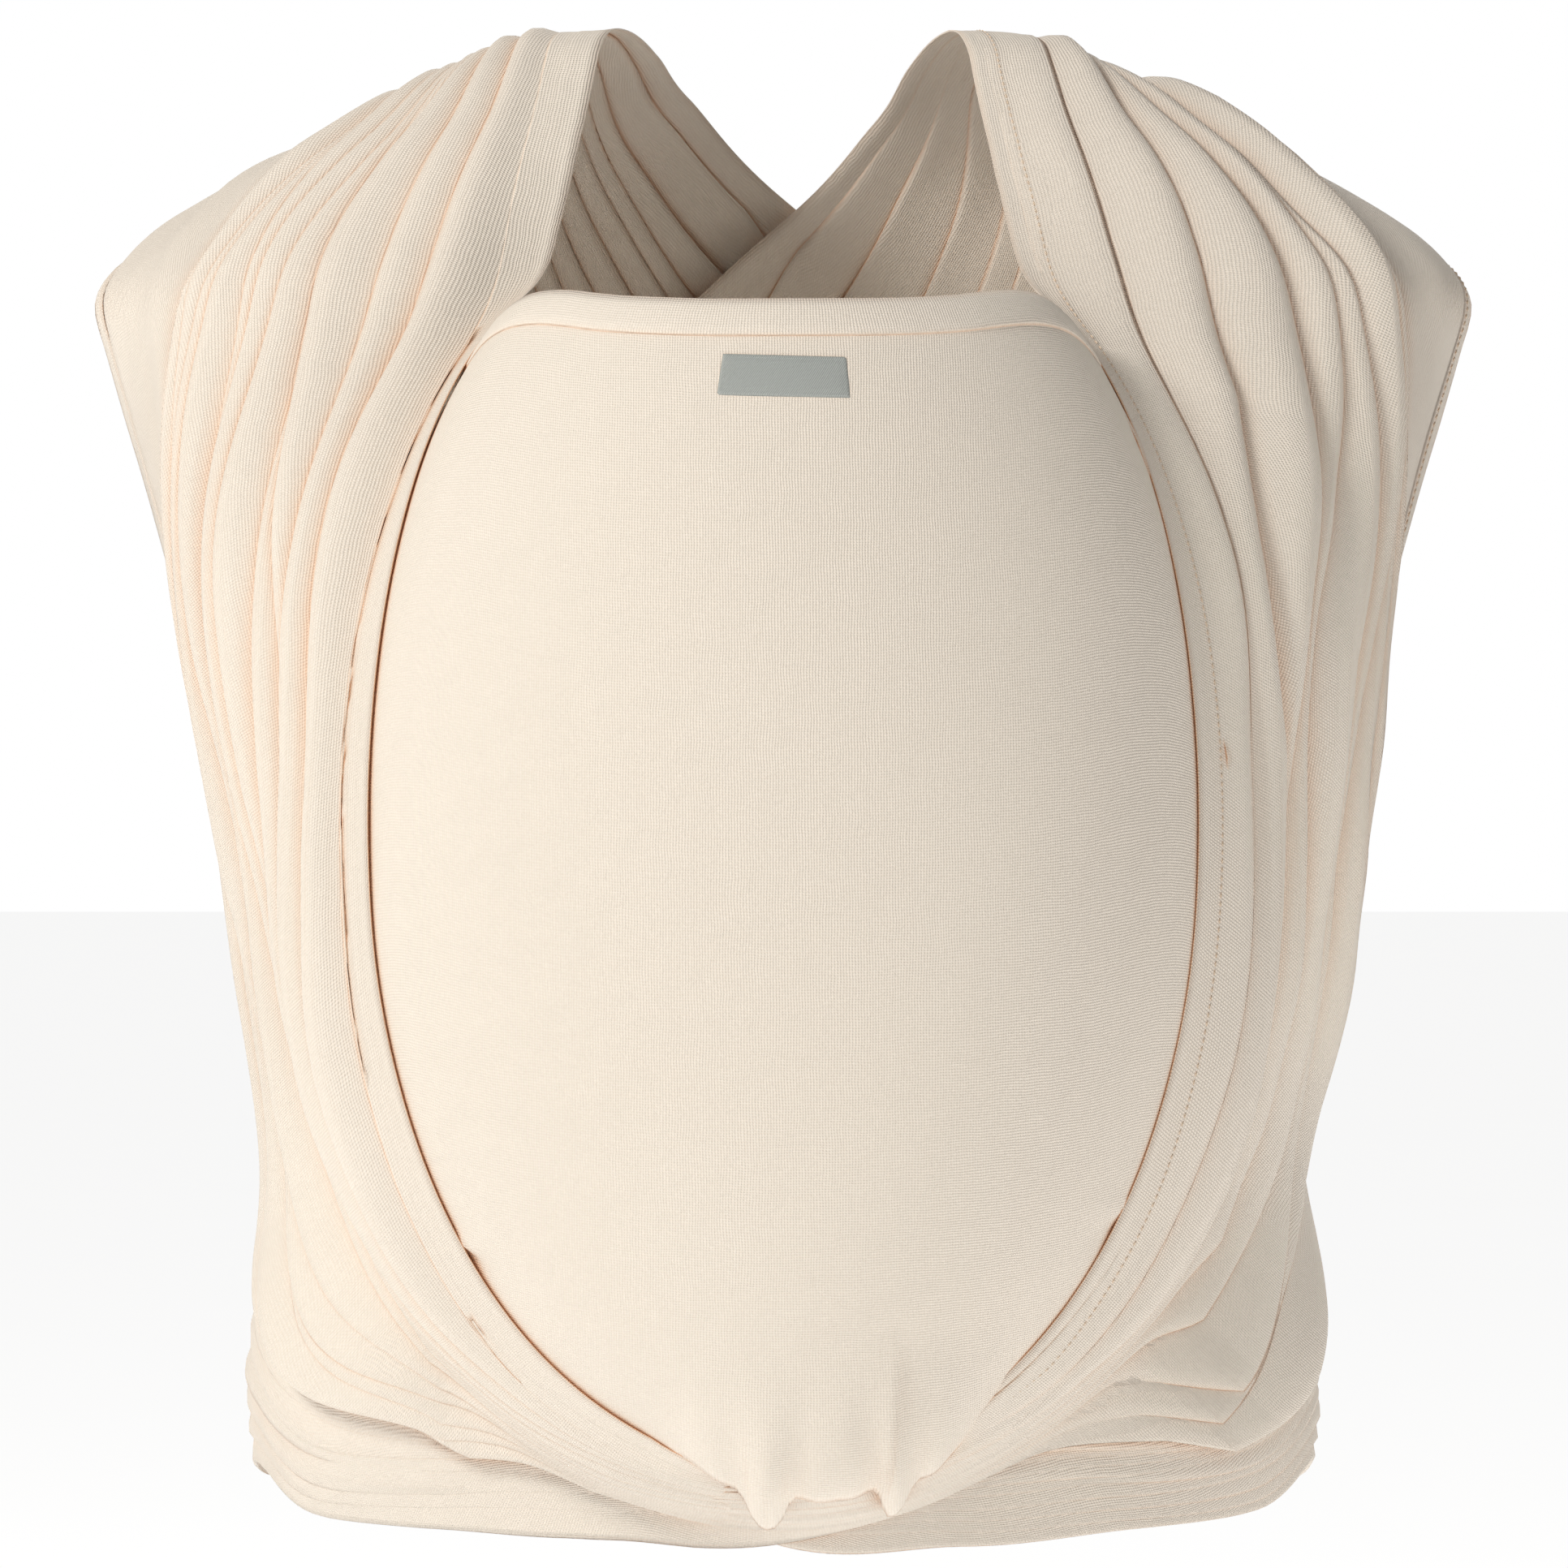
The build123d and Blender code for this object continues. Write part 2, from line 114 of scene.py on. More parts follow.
# One half of the cloth, as in the frame: the run over the wearer's left shoulder, in millimetres.
# (top selvage, bottom selvage, how far it is on the cape)
STATIONS = (
    ((-98, -86, 426), (-112, -92, 54), 0),  # 0 beside the panel
    ((-135, -58, 415), (-150, -58, 80), 0),  # 1
    ((-166, 0, 395), (-162, 5, 92), 0),  # 2 under the arm
    ((-150, 70, 390), (-138, 80, 118), 0),  # 3
    ((-85, 118, 415), (-75, 122, 170), 0),  # 4
    ((0, 108, 493), (5, 128, 245), 0),  # 5 middle of the back
    ((34, 76, 520), (105, 115, 350), 0),  # 6
    ((46, 46, 530), (172, 76, 420), 0.6),  # 7
    ((59, 12, 537), (247, 15, 447), 1),  # 8 shoulder ridge
    ((70, -22, 512), (243, -12, 396), 1),  # 9
    ((84, -48, 470), (228, -24, 346), 1),  # 10
    ((101, -75, 426), (210, -30, 290), 1),  # 11
    ((120, -100, 368), (200, -20, 240), 1),  # 12
    ((134, -118, 308), (193, -6, 198), 1),  # 13
    ((139, -128, 250), (186, 4, 158), 1),  # 14
    ((133, -131, 190), (180, -2, 120), 1),  # 15
    ((114, -131, 128), (166, -34, 90), 1),  # 16
    ((84, -130, 80), (122, -80, 60), 1),  # 17
    ((44, -128, 50), (62, -104, 30), 1),  # 18
    ((0, -126, 36), (0, -100, 11), 1),  # 19 under the seat
    ((-48, -110, 37), (-58, -92, 13), 1),  # 20
    ((-96, -92, 58), (-110, -74, 29), 1),  # 21
    ((-142, -54, 92), (-152, -42, 42), 1),  # 22
    ((-172, 2, 124), (-180, 4, 54), 1),  # 23 beside the waist
    ((-160, 62, 132), (-155, 68, 56), 1),  # 24
    ((-100, 108, 122), (-95, 110, 66), 1),  # 25
    ((-32, 128, 112), (-32, 128, 80), 1),  # 26 at the knot
)
LAST = len(STATIONS) - 1

# In the tables of both halves, 1 is the run over the wearer's left shoulder, -1 over the right.
# (station, height of the cloth above the form, in millimetres)
LIFTS = {
    1: ((0, 0.6), (7, 1), (8, 4), (12, 4), (15, 10), (18.2, 9), (19, 6), (19.5, 5), (20.2, 2),
        (22.6, 2), (24, 9), (26, 17)),
    -1: ((0, 0.6), (2, 0.6), (3, 10), (6, 10), (7, 5), (8, 4), (12, 4), (15, 10), (18, 10),
         (18.8, 3), (20, 2), (22.6, 2), (24, 4), (26, 17)),
}

# (station, how far the inner selvage sinks from that height down to the cloth under it, 0 to 1)
SINKS = {
    1: ((0, 0), (8.2, 0), (9.5, 1), (17.5, 1), (18.4, 0.3), (19, 0), (26, 0)),
    -1: ((0, 0), (8.2, 0), (9.5, 1), (18, 1), (19, 0), (26, 0)),
}
SINK_REACH = 26 * MM
LOW_LIFT = 2.6 * MM  # height of the sunken selvage above the cloth under it

# (station, smooth strip beside the inner selvage in millimetres, where the gathers end across the
# cloth, how much of the spare cloth they take up, undulation in millimetres)
LEFT_GATHERS = (
    (0, 220, 0.97, 0.97, 0.5),
    (2, 190, 0.97, 1.0, 0.8),
    (3.5, 90, 0.97, 1.0, 0.8),
    (5, 34, 0.96, 1.0, 1.0),
    (6.5, 29, 0.80, 1.0, 1.0),
    (8, 29, 0.42, 1.0, 1.2),
    (10, 29, 0.60, 1.0, 1.6),
    (12, 29, 0.86, 1.0, 1.2),
    (14, 28, 0.97, 0.97, 0.8),
    (17, 18, 0.97, 0.95, 0.6),
    (19, 8, 0.97, 0.85, 0.4),
    (21, 10, 0.95, 0.95, 1.2),
    (23, 12, 0.93, 1.0, 1.6),
    (25, 8, 0.96, 0.85, 0.8),
    (26, 5, 0.98, 0.25, 0.5),
)
RIGHT_GATHERS = (
    (0, 220, 0.97, 0.97, 0.5),
    (2, 190, 0.97, 1.0, 0.8),
    (3.5, 85, 0.97, 1.0, 0.8),
    (5, 30, 0.97, 1.0, 1.0),
    (6.5, 28, 0.78, 1.0, 1.0),
    (8, 18, 0.42, 1.0, 1.2),
    (10, 15, 0.55, 1.0, 1.4),
    (12, 14, 0.82, 1.0, 1.0),
    (14, 14, 0.97, 1.0, 0.6),
    (17, 14, 0.97, 0.95, 0.5),
    (19, 8, 0.97, 0.8, 0.4),
    (21, 8, 0.95, 0.95, 1.0),
    (23, 10, 0.94, 1.0, 1.2),
    (25, 8, 0.96, 0.85, 0.8),
    (26, 5, 0.98, 0.25, 0.5),
)
GATHERS = {1: LEFT_GATHERS, -1: RIGHT_GATHERS}
PLEATS = {1: 8, -1: 12}
PLEAT_SLOPE = {1: 0.18, -1: 0.26}  # height of a fold over how far it laps
# (station, share of that slope, share of the arch's height)
FLATNESS = ((0, 0.45, 0.62), (7.6, 0.45, 0.62), (8.6, 1, 1.1), (16.5, 1, 1), (18.2, 0.45, 0.7),
            (19.8, 0.45, 0.7), (21, 0.55, 1.7), (24.5, 0.55, 1.7), (26, 0.3, 1))
SWINGS = (2.5, 6.5)  # fewest and most times a pleat's lap and pitch swing along the cloth
LAP_SWING = 0.55  # how much a fold's lap changes along the cloth, over the folds' distance
PITCH_SWING = 0.42  # how much a pleat's pitch changes along the cloth, over the pitch
PITCH_RANGE = (0.75, 1.3)  # narrowest and widest pleat over the usual one
FALL = 0.32  # share of a pleat's pitch in which the cloth turns back under
BULGE = {1: 0.26, -1: 0.27}  # height of the arch between two folds over their distance
ARCH_LEAN = 1.25  # above 1, the arch is highest nearer to the next fold
LEAST_LAP = 2 * MM
LEAST_SPARE = 20 * MM  # cloth left for the pleats where the run is as wide as the cloth
PLAIN_LAYERS = 2.5  # layers that the outermost folds don't need
ROOM_PER_PLEAT = 0.85  # share of its pitch that a pleat leaves for the next one's hidden layer
HIDDEN_INSET = 3 * MM  # a hidden layer ends this far inside the inner selvage
WIDEST_STRIP = 0.4  # of the run's width
SMALLEST_GAP = 0.1 * MM  # folds nearer than this have no arch between them
EDGE_EASE = 8  # unevenness starts within an eighth of the width from each selvage
SWAY = 0.016  # how far the folds wander across the run, over its width

# Starting numbers of the random draws
PLEAT_SEED = 41
SWAY_SEED = 7
SWELL_SEED = 17
PANEL_SEED = 5

ROWS_PER_STATION = 12
STEPS_PER_PLEAT = 18
STRIP_PLACES = np.linspace(0.25, 0.9, 5)
OUTER_PLACES = np.linspace(0.03, 1.0, 34)

# The parts of one row across the cloth, from the inner selvage out
INNER_HEM, STRIP, GATHERED, OUTER, OUTER_HEM = range(5)


def smooth_rows(rows, values):
    """The rows of numbers at many values, through rows whose first number is the key."""
    table = np.array(rows, dtype=float)
    keys = table[:, 0]
    values = np.clip(np.asarray(values, dtype=float), keys[0], keys[-1])
    i = np.clip(np.searchsorted(keys, values, side="right") - 1, 0, len(keys) - 2)
    before, after = np.maximum(i - 1, 0), np.minimum(i + 2, len(keys) - 1)
    span = (keys[i + 1] - keys[i])[:, None]
    share = (values - keys[i])[:, None] / span
    start, end = table[i, 1:], table[i + 1, 1:]
    slope_in = (end - table[before, 1:]) / (keys[i + 1] - keys[before])[:, None] * span
    slope_out = (table[after, 1:] - start) / (keys[after] - keys[i])[:, None] * span
    return (
        (2 * share**3 - 3 * share**2 + 1) * start
        + (share**3 - 2 * share**2 + share) * slope_in
        + (3 * share**2 - 2 * share**3) * end
        + (share**3 - share**2) * slope_out
    )


def profile_table(profile):
    """Heights at every millimetre with the half width and depths there, in metres."""
    heights = np.arange(profile[0][0], profile[-1][0] + 1.0)
    return heights * MM, smooth_rows(profile, heights) * MM


TORSO_TABLE = profile_table(TORSO)
CAPE_TABLE = profile_table(CAPE)


def outside_body(table, points):
    """Above 0 where a point is outside the body with these sections."""
    heights, sizes = table
    x, y, z = np.moveaxis(points, -1, 0)
    half, front, back = (np.interp(z, heights, sizes[:, k]) for k in range(3))
    depth = np.where(y < MID_Y, front, back)
    value = np.abs(x / half) ** SECTION_POWER + np.abs((y - MID_Y) / depth) ** SECTION_POWER
    return np.where((z > heights[0]) & (z < heights[-1]), value - 1.0, 1.0)


def outside_torso(points):
    """Above 0 where a point is outside the wearer's torso."""
    return outside_body(TORSO_TABLE, points)


def outside_cape(points):
    """Above 0 where a point is outside the shape that the straps lie on."""
    return outside_body(CAPE_TABLE, points)


def outside_baby(points):
    """Above 0 where a point is outside the baby."""
    offset = points - BABY_CENTRE
    height = np.where(offset[..., 2] > 0, BABY_UP, BABY_DOWN)
    across = (offset[..., 0] / BABY_HALF_WIDTH) ** 2 + (offset[..., 1] / BABY_DEPTH) ** 2
    return across + (offset[..., 2] / height) ** 2 - 1.0


def reach(outside, directions):
    """How far from CENTRE a shape reaches in each direction."""
    near = np.zeros(directions.shape[:-1])
    far = np.full(directions.shape[:-1], FARTHEST)
    for _ in range(HALVINGS):
        middle = (near + far) / 2
        out = outside(CENTRE + directions * middle[..., None]) > 0
        far = np.where(out, middle, far)
        near = np.where(out, near, middle)
    return near


def soft_max(first, second, blend):
    """The larger of two lengths, rounded off where they are nearly equal."""
    return (first + second + np.hypot(first - second, blend)) / 2


def form_reach(directions, on_cape):
    """How far the form reaches: 0 for torso and baby, 1 for the cape over them."""
    body = soft_max(reach(outside_torso, directions), reach(outside_baby, directions), BODY_BLEND)
    cape = soft_max(body, reach(outside_cape, directions), CAPE_BLEND)
    return body + (cape - body) * on_cape


def unit(vectors):
    """The same directions with length 1."""
    return vectors / np.linalg.norm(vectors, axis=-1, keepdims=True)


def smooth_step(share):
    """From 0 to 1 with a soft start and end."""
    return share * share * (3 - 2 * share)


def running_length(steps, axis=0):
    """Distances from the first place on, from the steps between neighbours along an axis."""
    total = np.cumsum(steps, axis=axis)
    return np.concatenate((np.zeros_like(np.take(total, [0], axis=axis)), total), axis=axis)


def distances(points, axis):
    """Distances between neighbouring points along an axis."""
    return np.linalg.norm(np.diff(points, axis=axis), axis=-1)


def turn_between(first, second, share):
    """Directions on the turn from first to second, one row of shares for each pair."""
    angle = np.arccos(np.clip((first * second).sum(-1), -1, 1))[:, None]
    start = np.sin((1 - share) * angle) / np.sin(angle)
    end = np.sin(share * angle) / np.sin(angle)
    return start[..., None] * first[:, None] + end[..., None] * second[:, None]


def wander(rows, columns, seed, amplitude, along=5.0, across=3.0):
    """A soft irregular height over a grid whose rows and columns run from 0 to 1."""
    rng = np.random.default_rng(seed)
    total = np.zeros(np.broadcast(rows, columns).shape)
    for scale in (1.0, 1.6, 2.56):
        phases = rng.uniform(0, TURN, 2)
        lean = rng.uniform(-1.0, 1.0)
        wave = np.sin(TURN * scale * (along * rows + lean * columns) + phases[0])
        cross = np.sin(TURN * scale * (across * columns + lean * rows) + phases[1])
        total += wave * cross / scale
    return amplitude * total


def half_rows(side):
    """For every row along one half: its position, rail directions, lift and cape share."""
    position = np.linspace(0, LAST, LAST * ROWS_PER_STATION + 1)
    rows = [(i, *top, *bottom, cape) for i, (top, bottom, cape) in enumerate(STATIONS)]
    table = smooth_rows(rows, position)
    flip = np.array((side, 1.0, 1.0))
    top = unit(table[:, :3] * MM * flip - CENTRE)
    bottom = unit(table[:, 3:6] * MM * flip - CENTRE)
    on_cape = np.clip(table[:, 6:7], 0, 1)
    keys, heights = zip(*LIFTS[side])
    lift = np.interp(position, keys, heights)[:, None] * MM
    return position, top, bottom, lift, on_cape


def column_plan(pleats):
    """For each column: the part of the width it is in, and where in that part."""
    folds = np.linspace(0, pleats, pleats * STEPS_PER_PLEAT + 1)
    places = {
        INNER_HEM: HEM_PLACES,
        STRIP: STRIP_PLACES,
        GATHERED: folds,
        OUTER: OUTER_PLACES,
        OUTER_HEM: HEM_PLACES[::-1],
    }
    part = np.concatenate([np.full(len(values), which) for which, values in places.items()])
    return part, np.concatenate(list(places.values()))


def pleat_sizes(side, position, spare, strip_width, last):
    """For every row: how far each pleat laps, and where the pleats meet, from 0 to 1."""
    pleats = PLEATS[side]
    rng = np.random.default_rng(PLEAT_SEED + side)
    usual_lap = spare / (2 * pleats - PLAIN_LAYERS)
    pitch = (last - strip_width) / pleats
    turn = TURN * position / LAST
    laps = np.zeros((len(position), pleats + 1))
    pitches = np.ones((len(position), pleats))
    for k in range(pleats):
        swings = rng.uniform(*SWINGS, 2)
        phases = rng.uniform(0, TURN, 2)
        lap = usual_lap + pitch * LAP_SWING * np.sin(swings[0] * turn + phases[0])
        room = strip_width + ROOM_PER_PLEAT * k * pitch - HIDDEN_INSET
        laps[:, k] = np.clip(lap, LEAST_LAP, np.maximum(room, LEAST_LAP))
        pitches[:, k] *= rng.uniform(*PITCH_RANGE)
        pitches[:, k] *= 1 + PITCH_SWING * np.sin(swings[1] * turn + phases[1])
    edges = running_length(pitches, axis=1)
    return laps, edges / edges[:, -1:]


def gathered_columns(side, place, laps, edges, first, last):
    """For the gathered columns: where they stand, how far they lap, and their arches."""
    k = np.minimum(place.astype(int), PLEATS[side] - 1)
    inside = place - k
    span = (last - first)[:, None]
    starts = first[:, None] + span * edges[:, k]
    ends = first[:, None] + span * edges[:, k + 1]
    base = starts + inside * (ends - starts)
    falling = inside < FALL
    fall = 0.5 + 0.5 * np.cos(math.pi * inside / FALL)
    climb = 0.5 - 0.5 * np.cos(math.pi * (inside - FALL) / (1 - FALL))
    rise = np.where(falling, laps[:, k] * fall, laps[:, k + 1] * climb)
    noses = starts + laps[:, k]
    gap = np.maximum(ends + laps[:, k + 1] - noses, 0.1 * SMALLEST_GAP)
    shown = np.clip((base + rise - noses) / gap, 0, 1)
    arch = BULGE[side] * gap * np.sin(math.pi * shown**ARCH_LEAN) * (gap > SMALLEST_GAP)
    return base, rise, np.where(falling, 0.0, arch)


def pleated_section(side, position, width):
    """Across each row: distance from the inner selvage, fold height and cloth distance."""
    part, place = column_plan(PLEATS[side])
    strip_width, end, fullness = smooth_rows(GATHERS[side], position).T[:3]
    hem = HEM * np.clip(width / NARROW, NARROWEST_HEM, 1)
    strip_width = np.minimum(strip_width * MM, WIDEST_STRIP * width)
    outer_end = width - HEM_END * hem
    last = np.minimum(width * end, outer_end - 1 * MM)
    spare = fullness * np.maximum(CLOTH_WIDTH - width, LEAST_SPARE)
    laps, edges = pleat_sizes(side, position, spare, strip_width, last)
    first = strip_width - laps[:, 0]

    # how far each column stands from the inner selvage, how far it laps, and how high it arches
    base, rise, bulge = np.zeros((3, len(position), len(part)))
    columns = part == GATHERED
    parts = gathered_columns(side, place[columns], laps, edges, first, last)
    base[:, columns], rise[:, columns], bulge[:, columns] = parts
    columns = part == INNER_HEM
    base[:, columns] = place[columns] * hem[:, None] - laps[:, :1]
    rise[:, columns] = laps[:, :1]
    columns = part == STRIP
    strip_start = np.minimum(HEM_END * hem, strip_width - 0.1 * MM) - laps[:, 0]
    base[:, columns] = strip_start[:, None] + (first - strip_start)[:, None] * place[columns]
    rise[:, columns] = laps[:, :1]
    columns = part == OUTER
    base[:, columns] = last[:, None] + (outer_end - last)[:, None] * place[columns]
    columns = part == OUTER_HEM
    base[:, columns] = outer_end[:, None] + (HEM_END - place[columns]) * hem[:, None]

    across = base + rise
    keys, slopes, bulges = zip(*FLATNESS)
    slope = PLEAT_SLOPE[side] * np.interp(position, keys, slopes)[:, None]
    height = slope * rise + bulge * np.interp(position, keys, bulges)[:, None]
    in_hem = ((part == INNER_HEM) | (part == OUTER_HEM)) & (place < 1.0)
    height = height + HEM_RISE * in_hem
    cloth = running_length(np.hypot(np.diff(across, axis=1), np.diff(height, axis=1)), axis=1)
    weight = np.linspace(0, 1, len(part))[None, :] ** 2
    cloth = cloth * (1 - weight) + (CLOTH_WIDTH - cloth[:, -1:] + cloth) * weight
    return across, height, cloth, part, place


def half_cloth(side):
    """The points of one half of the cloth, as a grid, with the cloth's own coordinates."""
    position, top, bottom, lift, on_cape = half_rows(side)
    ends = form_reach(np.stack((top, bottom), axis=1), on_cape)
    angle = np.arccos(np.clip((top * bottom).sum(-1), -1, 1))
    width = angle * ends.mean(axis=1)
    across, height, cloth, part, place = pleated_section(side, position, width)
    rows = position[:, None] / LAST
    share = across / width[:, None]
    undulation = smooth_rows(GATHERS[side], position)[:, 3:4] * MM
    ease = np.clip(np.minimum(share, 1 - share) * EDGE_EASE, 0, 1)
    sway = wander(rows, share, SWAY_SEED + side, SWAY, along=2.4, across=0.5) * ease
    keys, sinks = zip(*SINKS[side])
    sink = np.interp(position, keys, sinks)[:, None]
    near = 1 - smooth_step(np.clip(across / SINK_REACH, 0, 1))
    height = height * (1 - near)
    lift = lift + (LOW_LIFT - lift) * sink * near
    directions = turn_between(top, bottom, share + sway)
    reaches = form_reach(directions, on_cape * (1 - sink * near))
    swell = undulation * wander(rows, share, SWELL_SEED + side, 1.0, along=5.0, across=2.6) * ease
    points = CENTRE + directions * (reaches + lift + height + swell)[..., None]
    along = running_length(distances(points, 0).mean(axis=1, keepdims=True)) + 0 * cloth
    return points, np.stack((along, cloth), axis=-1), part, place


def add_object(name, data):
    """A new object in the scene with this mesh, lamp or camera."""
    holder = bpy.data.objects.new(name, data)
    bpy.context.collection.objects.link(holder)
    return holder


def cloth_mesh(name, corners, faces, cloth):
    """A smooth piece with these faces and the cloth's coordinates as its UV map."""
    mesh = bpy.data.meshes.new(name)
    mesh.from_pydata(corners.tolist(), [], faces)
    layer = mesh.uv_layers.new(name="Cloth")
    loops = np.zeros(len(mesh.loops), dtype=int)
    mesh.loops.foreach_get("vertex_index", loops)
    layer.data.foreach_set("uv", cloth[loops].ravel())
    mesh.shade_smooth()
    return add_object(name, mesh)


def grid_mesh(name, points, cloth):
    """A piece through a grid of points, with the cloth's coordinates at them."""
    count, width = points.shape[:2]
    index = np.arange(count * width).reshape(count, width)
    quads = np.stack((index[:-1, :-1], index[1:, :-1], index[1:, 1:], index[:-1, 1:]), axis=-1)
    faces = quads.reshape(-1, 4).tolist()
    return cloth_mesh(name, points.reshape(-1, 3), faces, cloth.reshape(-1, 2))


def apply_modifiers(piece):
    """The piece's mesh as its modifiers leave it."""
    graph = bpy.context.evaluated_depsgraph_get()
    graph.update()
    mesh = bpy.data.meshes.new_from_object(piece.evaluated_get(graph))
    piece.modifiers.clear()
    piece.data = mesh


def thicken(piece, thickness=CLOTH_THICKNESS, offset=-1.0):
    """Gives a cloth its thickness, on the side away from the viewer when offset is -1."""
    solid = piece.modifiers.new("thickness", "SOLIDIFY")
    solid.thickness = thickness
    solid.offset = offset
    apply_modifiers(piece)


def outward(points):
    """The grid's normals, pointing away from CENTRE."""
    along = np.gradient(points, axis=0)
    across = np.gradient(points, axis=1)
    normals = unit(np.cross(along, across) + 1e-12)
    away = (normals * (points - CENTRE)).sum(-1, keepdims=True)
    return np.where(away < 0, -normals, normals)


def stitches(name, rows):
    """Rows of stitches: each row is a line of points with the surface normals at them."""
    corners, faces = [], []
    for line, normals in rows:
        length = running_length(distances(line, 0))
        starts = np.arange(STITCH_PITCH, length[-1] - STITCH_PITCH, STITCH_PITCH)
        sample = np.stack((starts, starts + STITCH_LENGTH / 2, starts + STITCH_LENGTH), axis=1)
        places = np.stack([np.interp(sample, length, line[:, k]) for k in range(3)], axis=-1)
        up = np.stack([np.interp(sample[:, 1], length, normals[:, k]) for k in range(3)], axis=-1)
        up = unit(up)
        run = unit(places[:, 2] - places[:, 0])
        side = np.cross(run, up)
        low, high = 0.1 * STITCH_RADIUS, 1.5 * STITCH_RADIUS
        ring = [
            places[:, 0] + up * low,
            places[:, 1] + side * STITCH_RADIUS + up * low,
            places[:, 1] + up * high,
            places[:, 1] - side * STITCH_RADIUS + up * low,
            places[:, 1] - up * STITCH_RADIUS,
            places[:, 2] + up * low,
        ]
        before = len(corners)
        corners.extend(np.stack(ring, axis=1).reshape(-1, 3).tolist())
        for i in range(len(starts)):
            start = before + len(ring) * i
            end = start + len(ring) - 1
            for a, b in ((1, 2), (2, 3), (3, 4), (4, 1)):
                faces.append((start, start + b, start + a))
                faces.append((end, start + a, start + b))
    mesh = bpy.data.meshes.new(name)
    mesh.from_pydata(corners, [], faces)
    mesh.shade_smooth()
    return add_object(name, mesh)


# ---- Materials ----


class Nodes:
    """A short way to write a material's nodes."""

    def __init__(self, name):
        self.material = bpy.data.materials.new(name)
        self.material.use_nodes = True
        self.tree = self.material.node_tree
        self.shader = self.tree.nodes["Principled BSDF"]

    def add(self, kind, **settings):
        node = self.tree.nodes.new(kind)
        for key, value in settings.items():
            setattr(node, key, value)
        return node

    def link(self, start, end):
        self.tree.links.new(start, end)

    def feed(self, socket, value):
        self.link(value, self.shader.inputs[socket])

    def math(self, operation, first, second=None, third=None):
        node = self.add("ShaderNodeMath", operation=operation)
        for socket, value in zip(node.inputs, (first, second, third)):
            if isinstance(value, (int, float)):
                socket.default_value = value
            elif value is not None:
                self.link(value, socket)
        return node.outputs[0]

    def mix(self, factor, low, high):
        node = self.add("ShaderNodeMix", data_type="RGBA")
        self.link(factor, node.inputs["Factor"])
        colour_sockets = node.inputs[6:8]
        for socket, value in zip(colour_sockets, (low, high)):
            if isinstance(value, tuple):
                socket.default_value = (*value, 1.0)
            else:
                self.link(value, socket)
        return node.outputs[2]

    def noise(self, vector, scale, detail=2.0):
        node = self.add("ShaderNodeTexNoise")
        self.link(vector, node.inputs["Vector"])
        node.inputs["Scale"].default_value = scale
        node.inputs["Detail"].default_value = detail
        return node.outputs["Fac"]

    def bump(self, height, distance, strength=1.0, after=None):
        node = self.add("ShaderNodeBump")
        node.inputs["Distance"].default_value = distance
        node.inputs["Strength"].default_value = strength
        self.link(height, node.inputs["Height"])
        if after is not None:
            self.link(after, node.inputs["Normal"])
        return node.outputs["Normal"]


CLOTH_LIGHT = (0.81, 0.74, 0.65)
CLOTH_DARK = (0.68, 0.575, 0.46)
# painted shade: the warm, dark colour laid into the cloth's creases
PAINTED_CREASE_SHADE = (0.78, 0.42, 0.21)
PAINTED_SHADE_REACH = 9 * MM  # cloth this near on both sides gets the painted crease shade
RIB_PITCH = 0.7 * MM
RIB_SLANT = 0.6


def weave_height(nodes, repeat):
    """A broken twill: small diamonds where the two slants of the weave meet."""
    uv = nodes.add("ShaderNodeUVMap", uv_map="Cloth").outputs[0]
    wobble = nodes.noise(uv, 60.0)
    split = nodes.add("ShaderNodeSeparateXYZ")
    nodes.link(uv, split.inputs[0])
    shift = nodes.math("MULTIPLY", wobble, repeat * 0.9)
    along = nodes.math("ADD", split.outputs[0], shift)
    across = nodes.math("ADD", split.outputs[1], shift)
    slants = []
    for operation in ("ADD", "SUBTRACT"):
        slant = nodes.math(operation, along, across)
        wave = nodes.math("SINE", nodes.math("MULTIPLY", slant, TURN / repeat))
        slants.append(wave)
    diamonds = nodes.math("MULTIPLY", slants[0], slants[1])
    threads = nodes.math("SINE", nodes.math("MULTIPLY", across, 2 * TURN / repeat))
    yarns = nodes.math("SINE", nodes.math("MULTIPLY", along, 2 * TURN / repeat))
    fine = nodes.math("MULTIPLY", nodes.math("MULTIPLY", threads, yarns), 0.25)
    return uv, nodes.math("ADD", diamonds, fine)


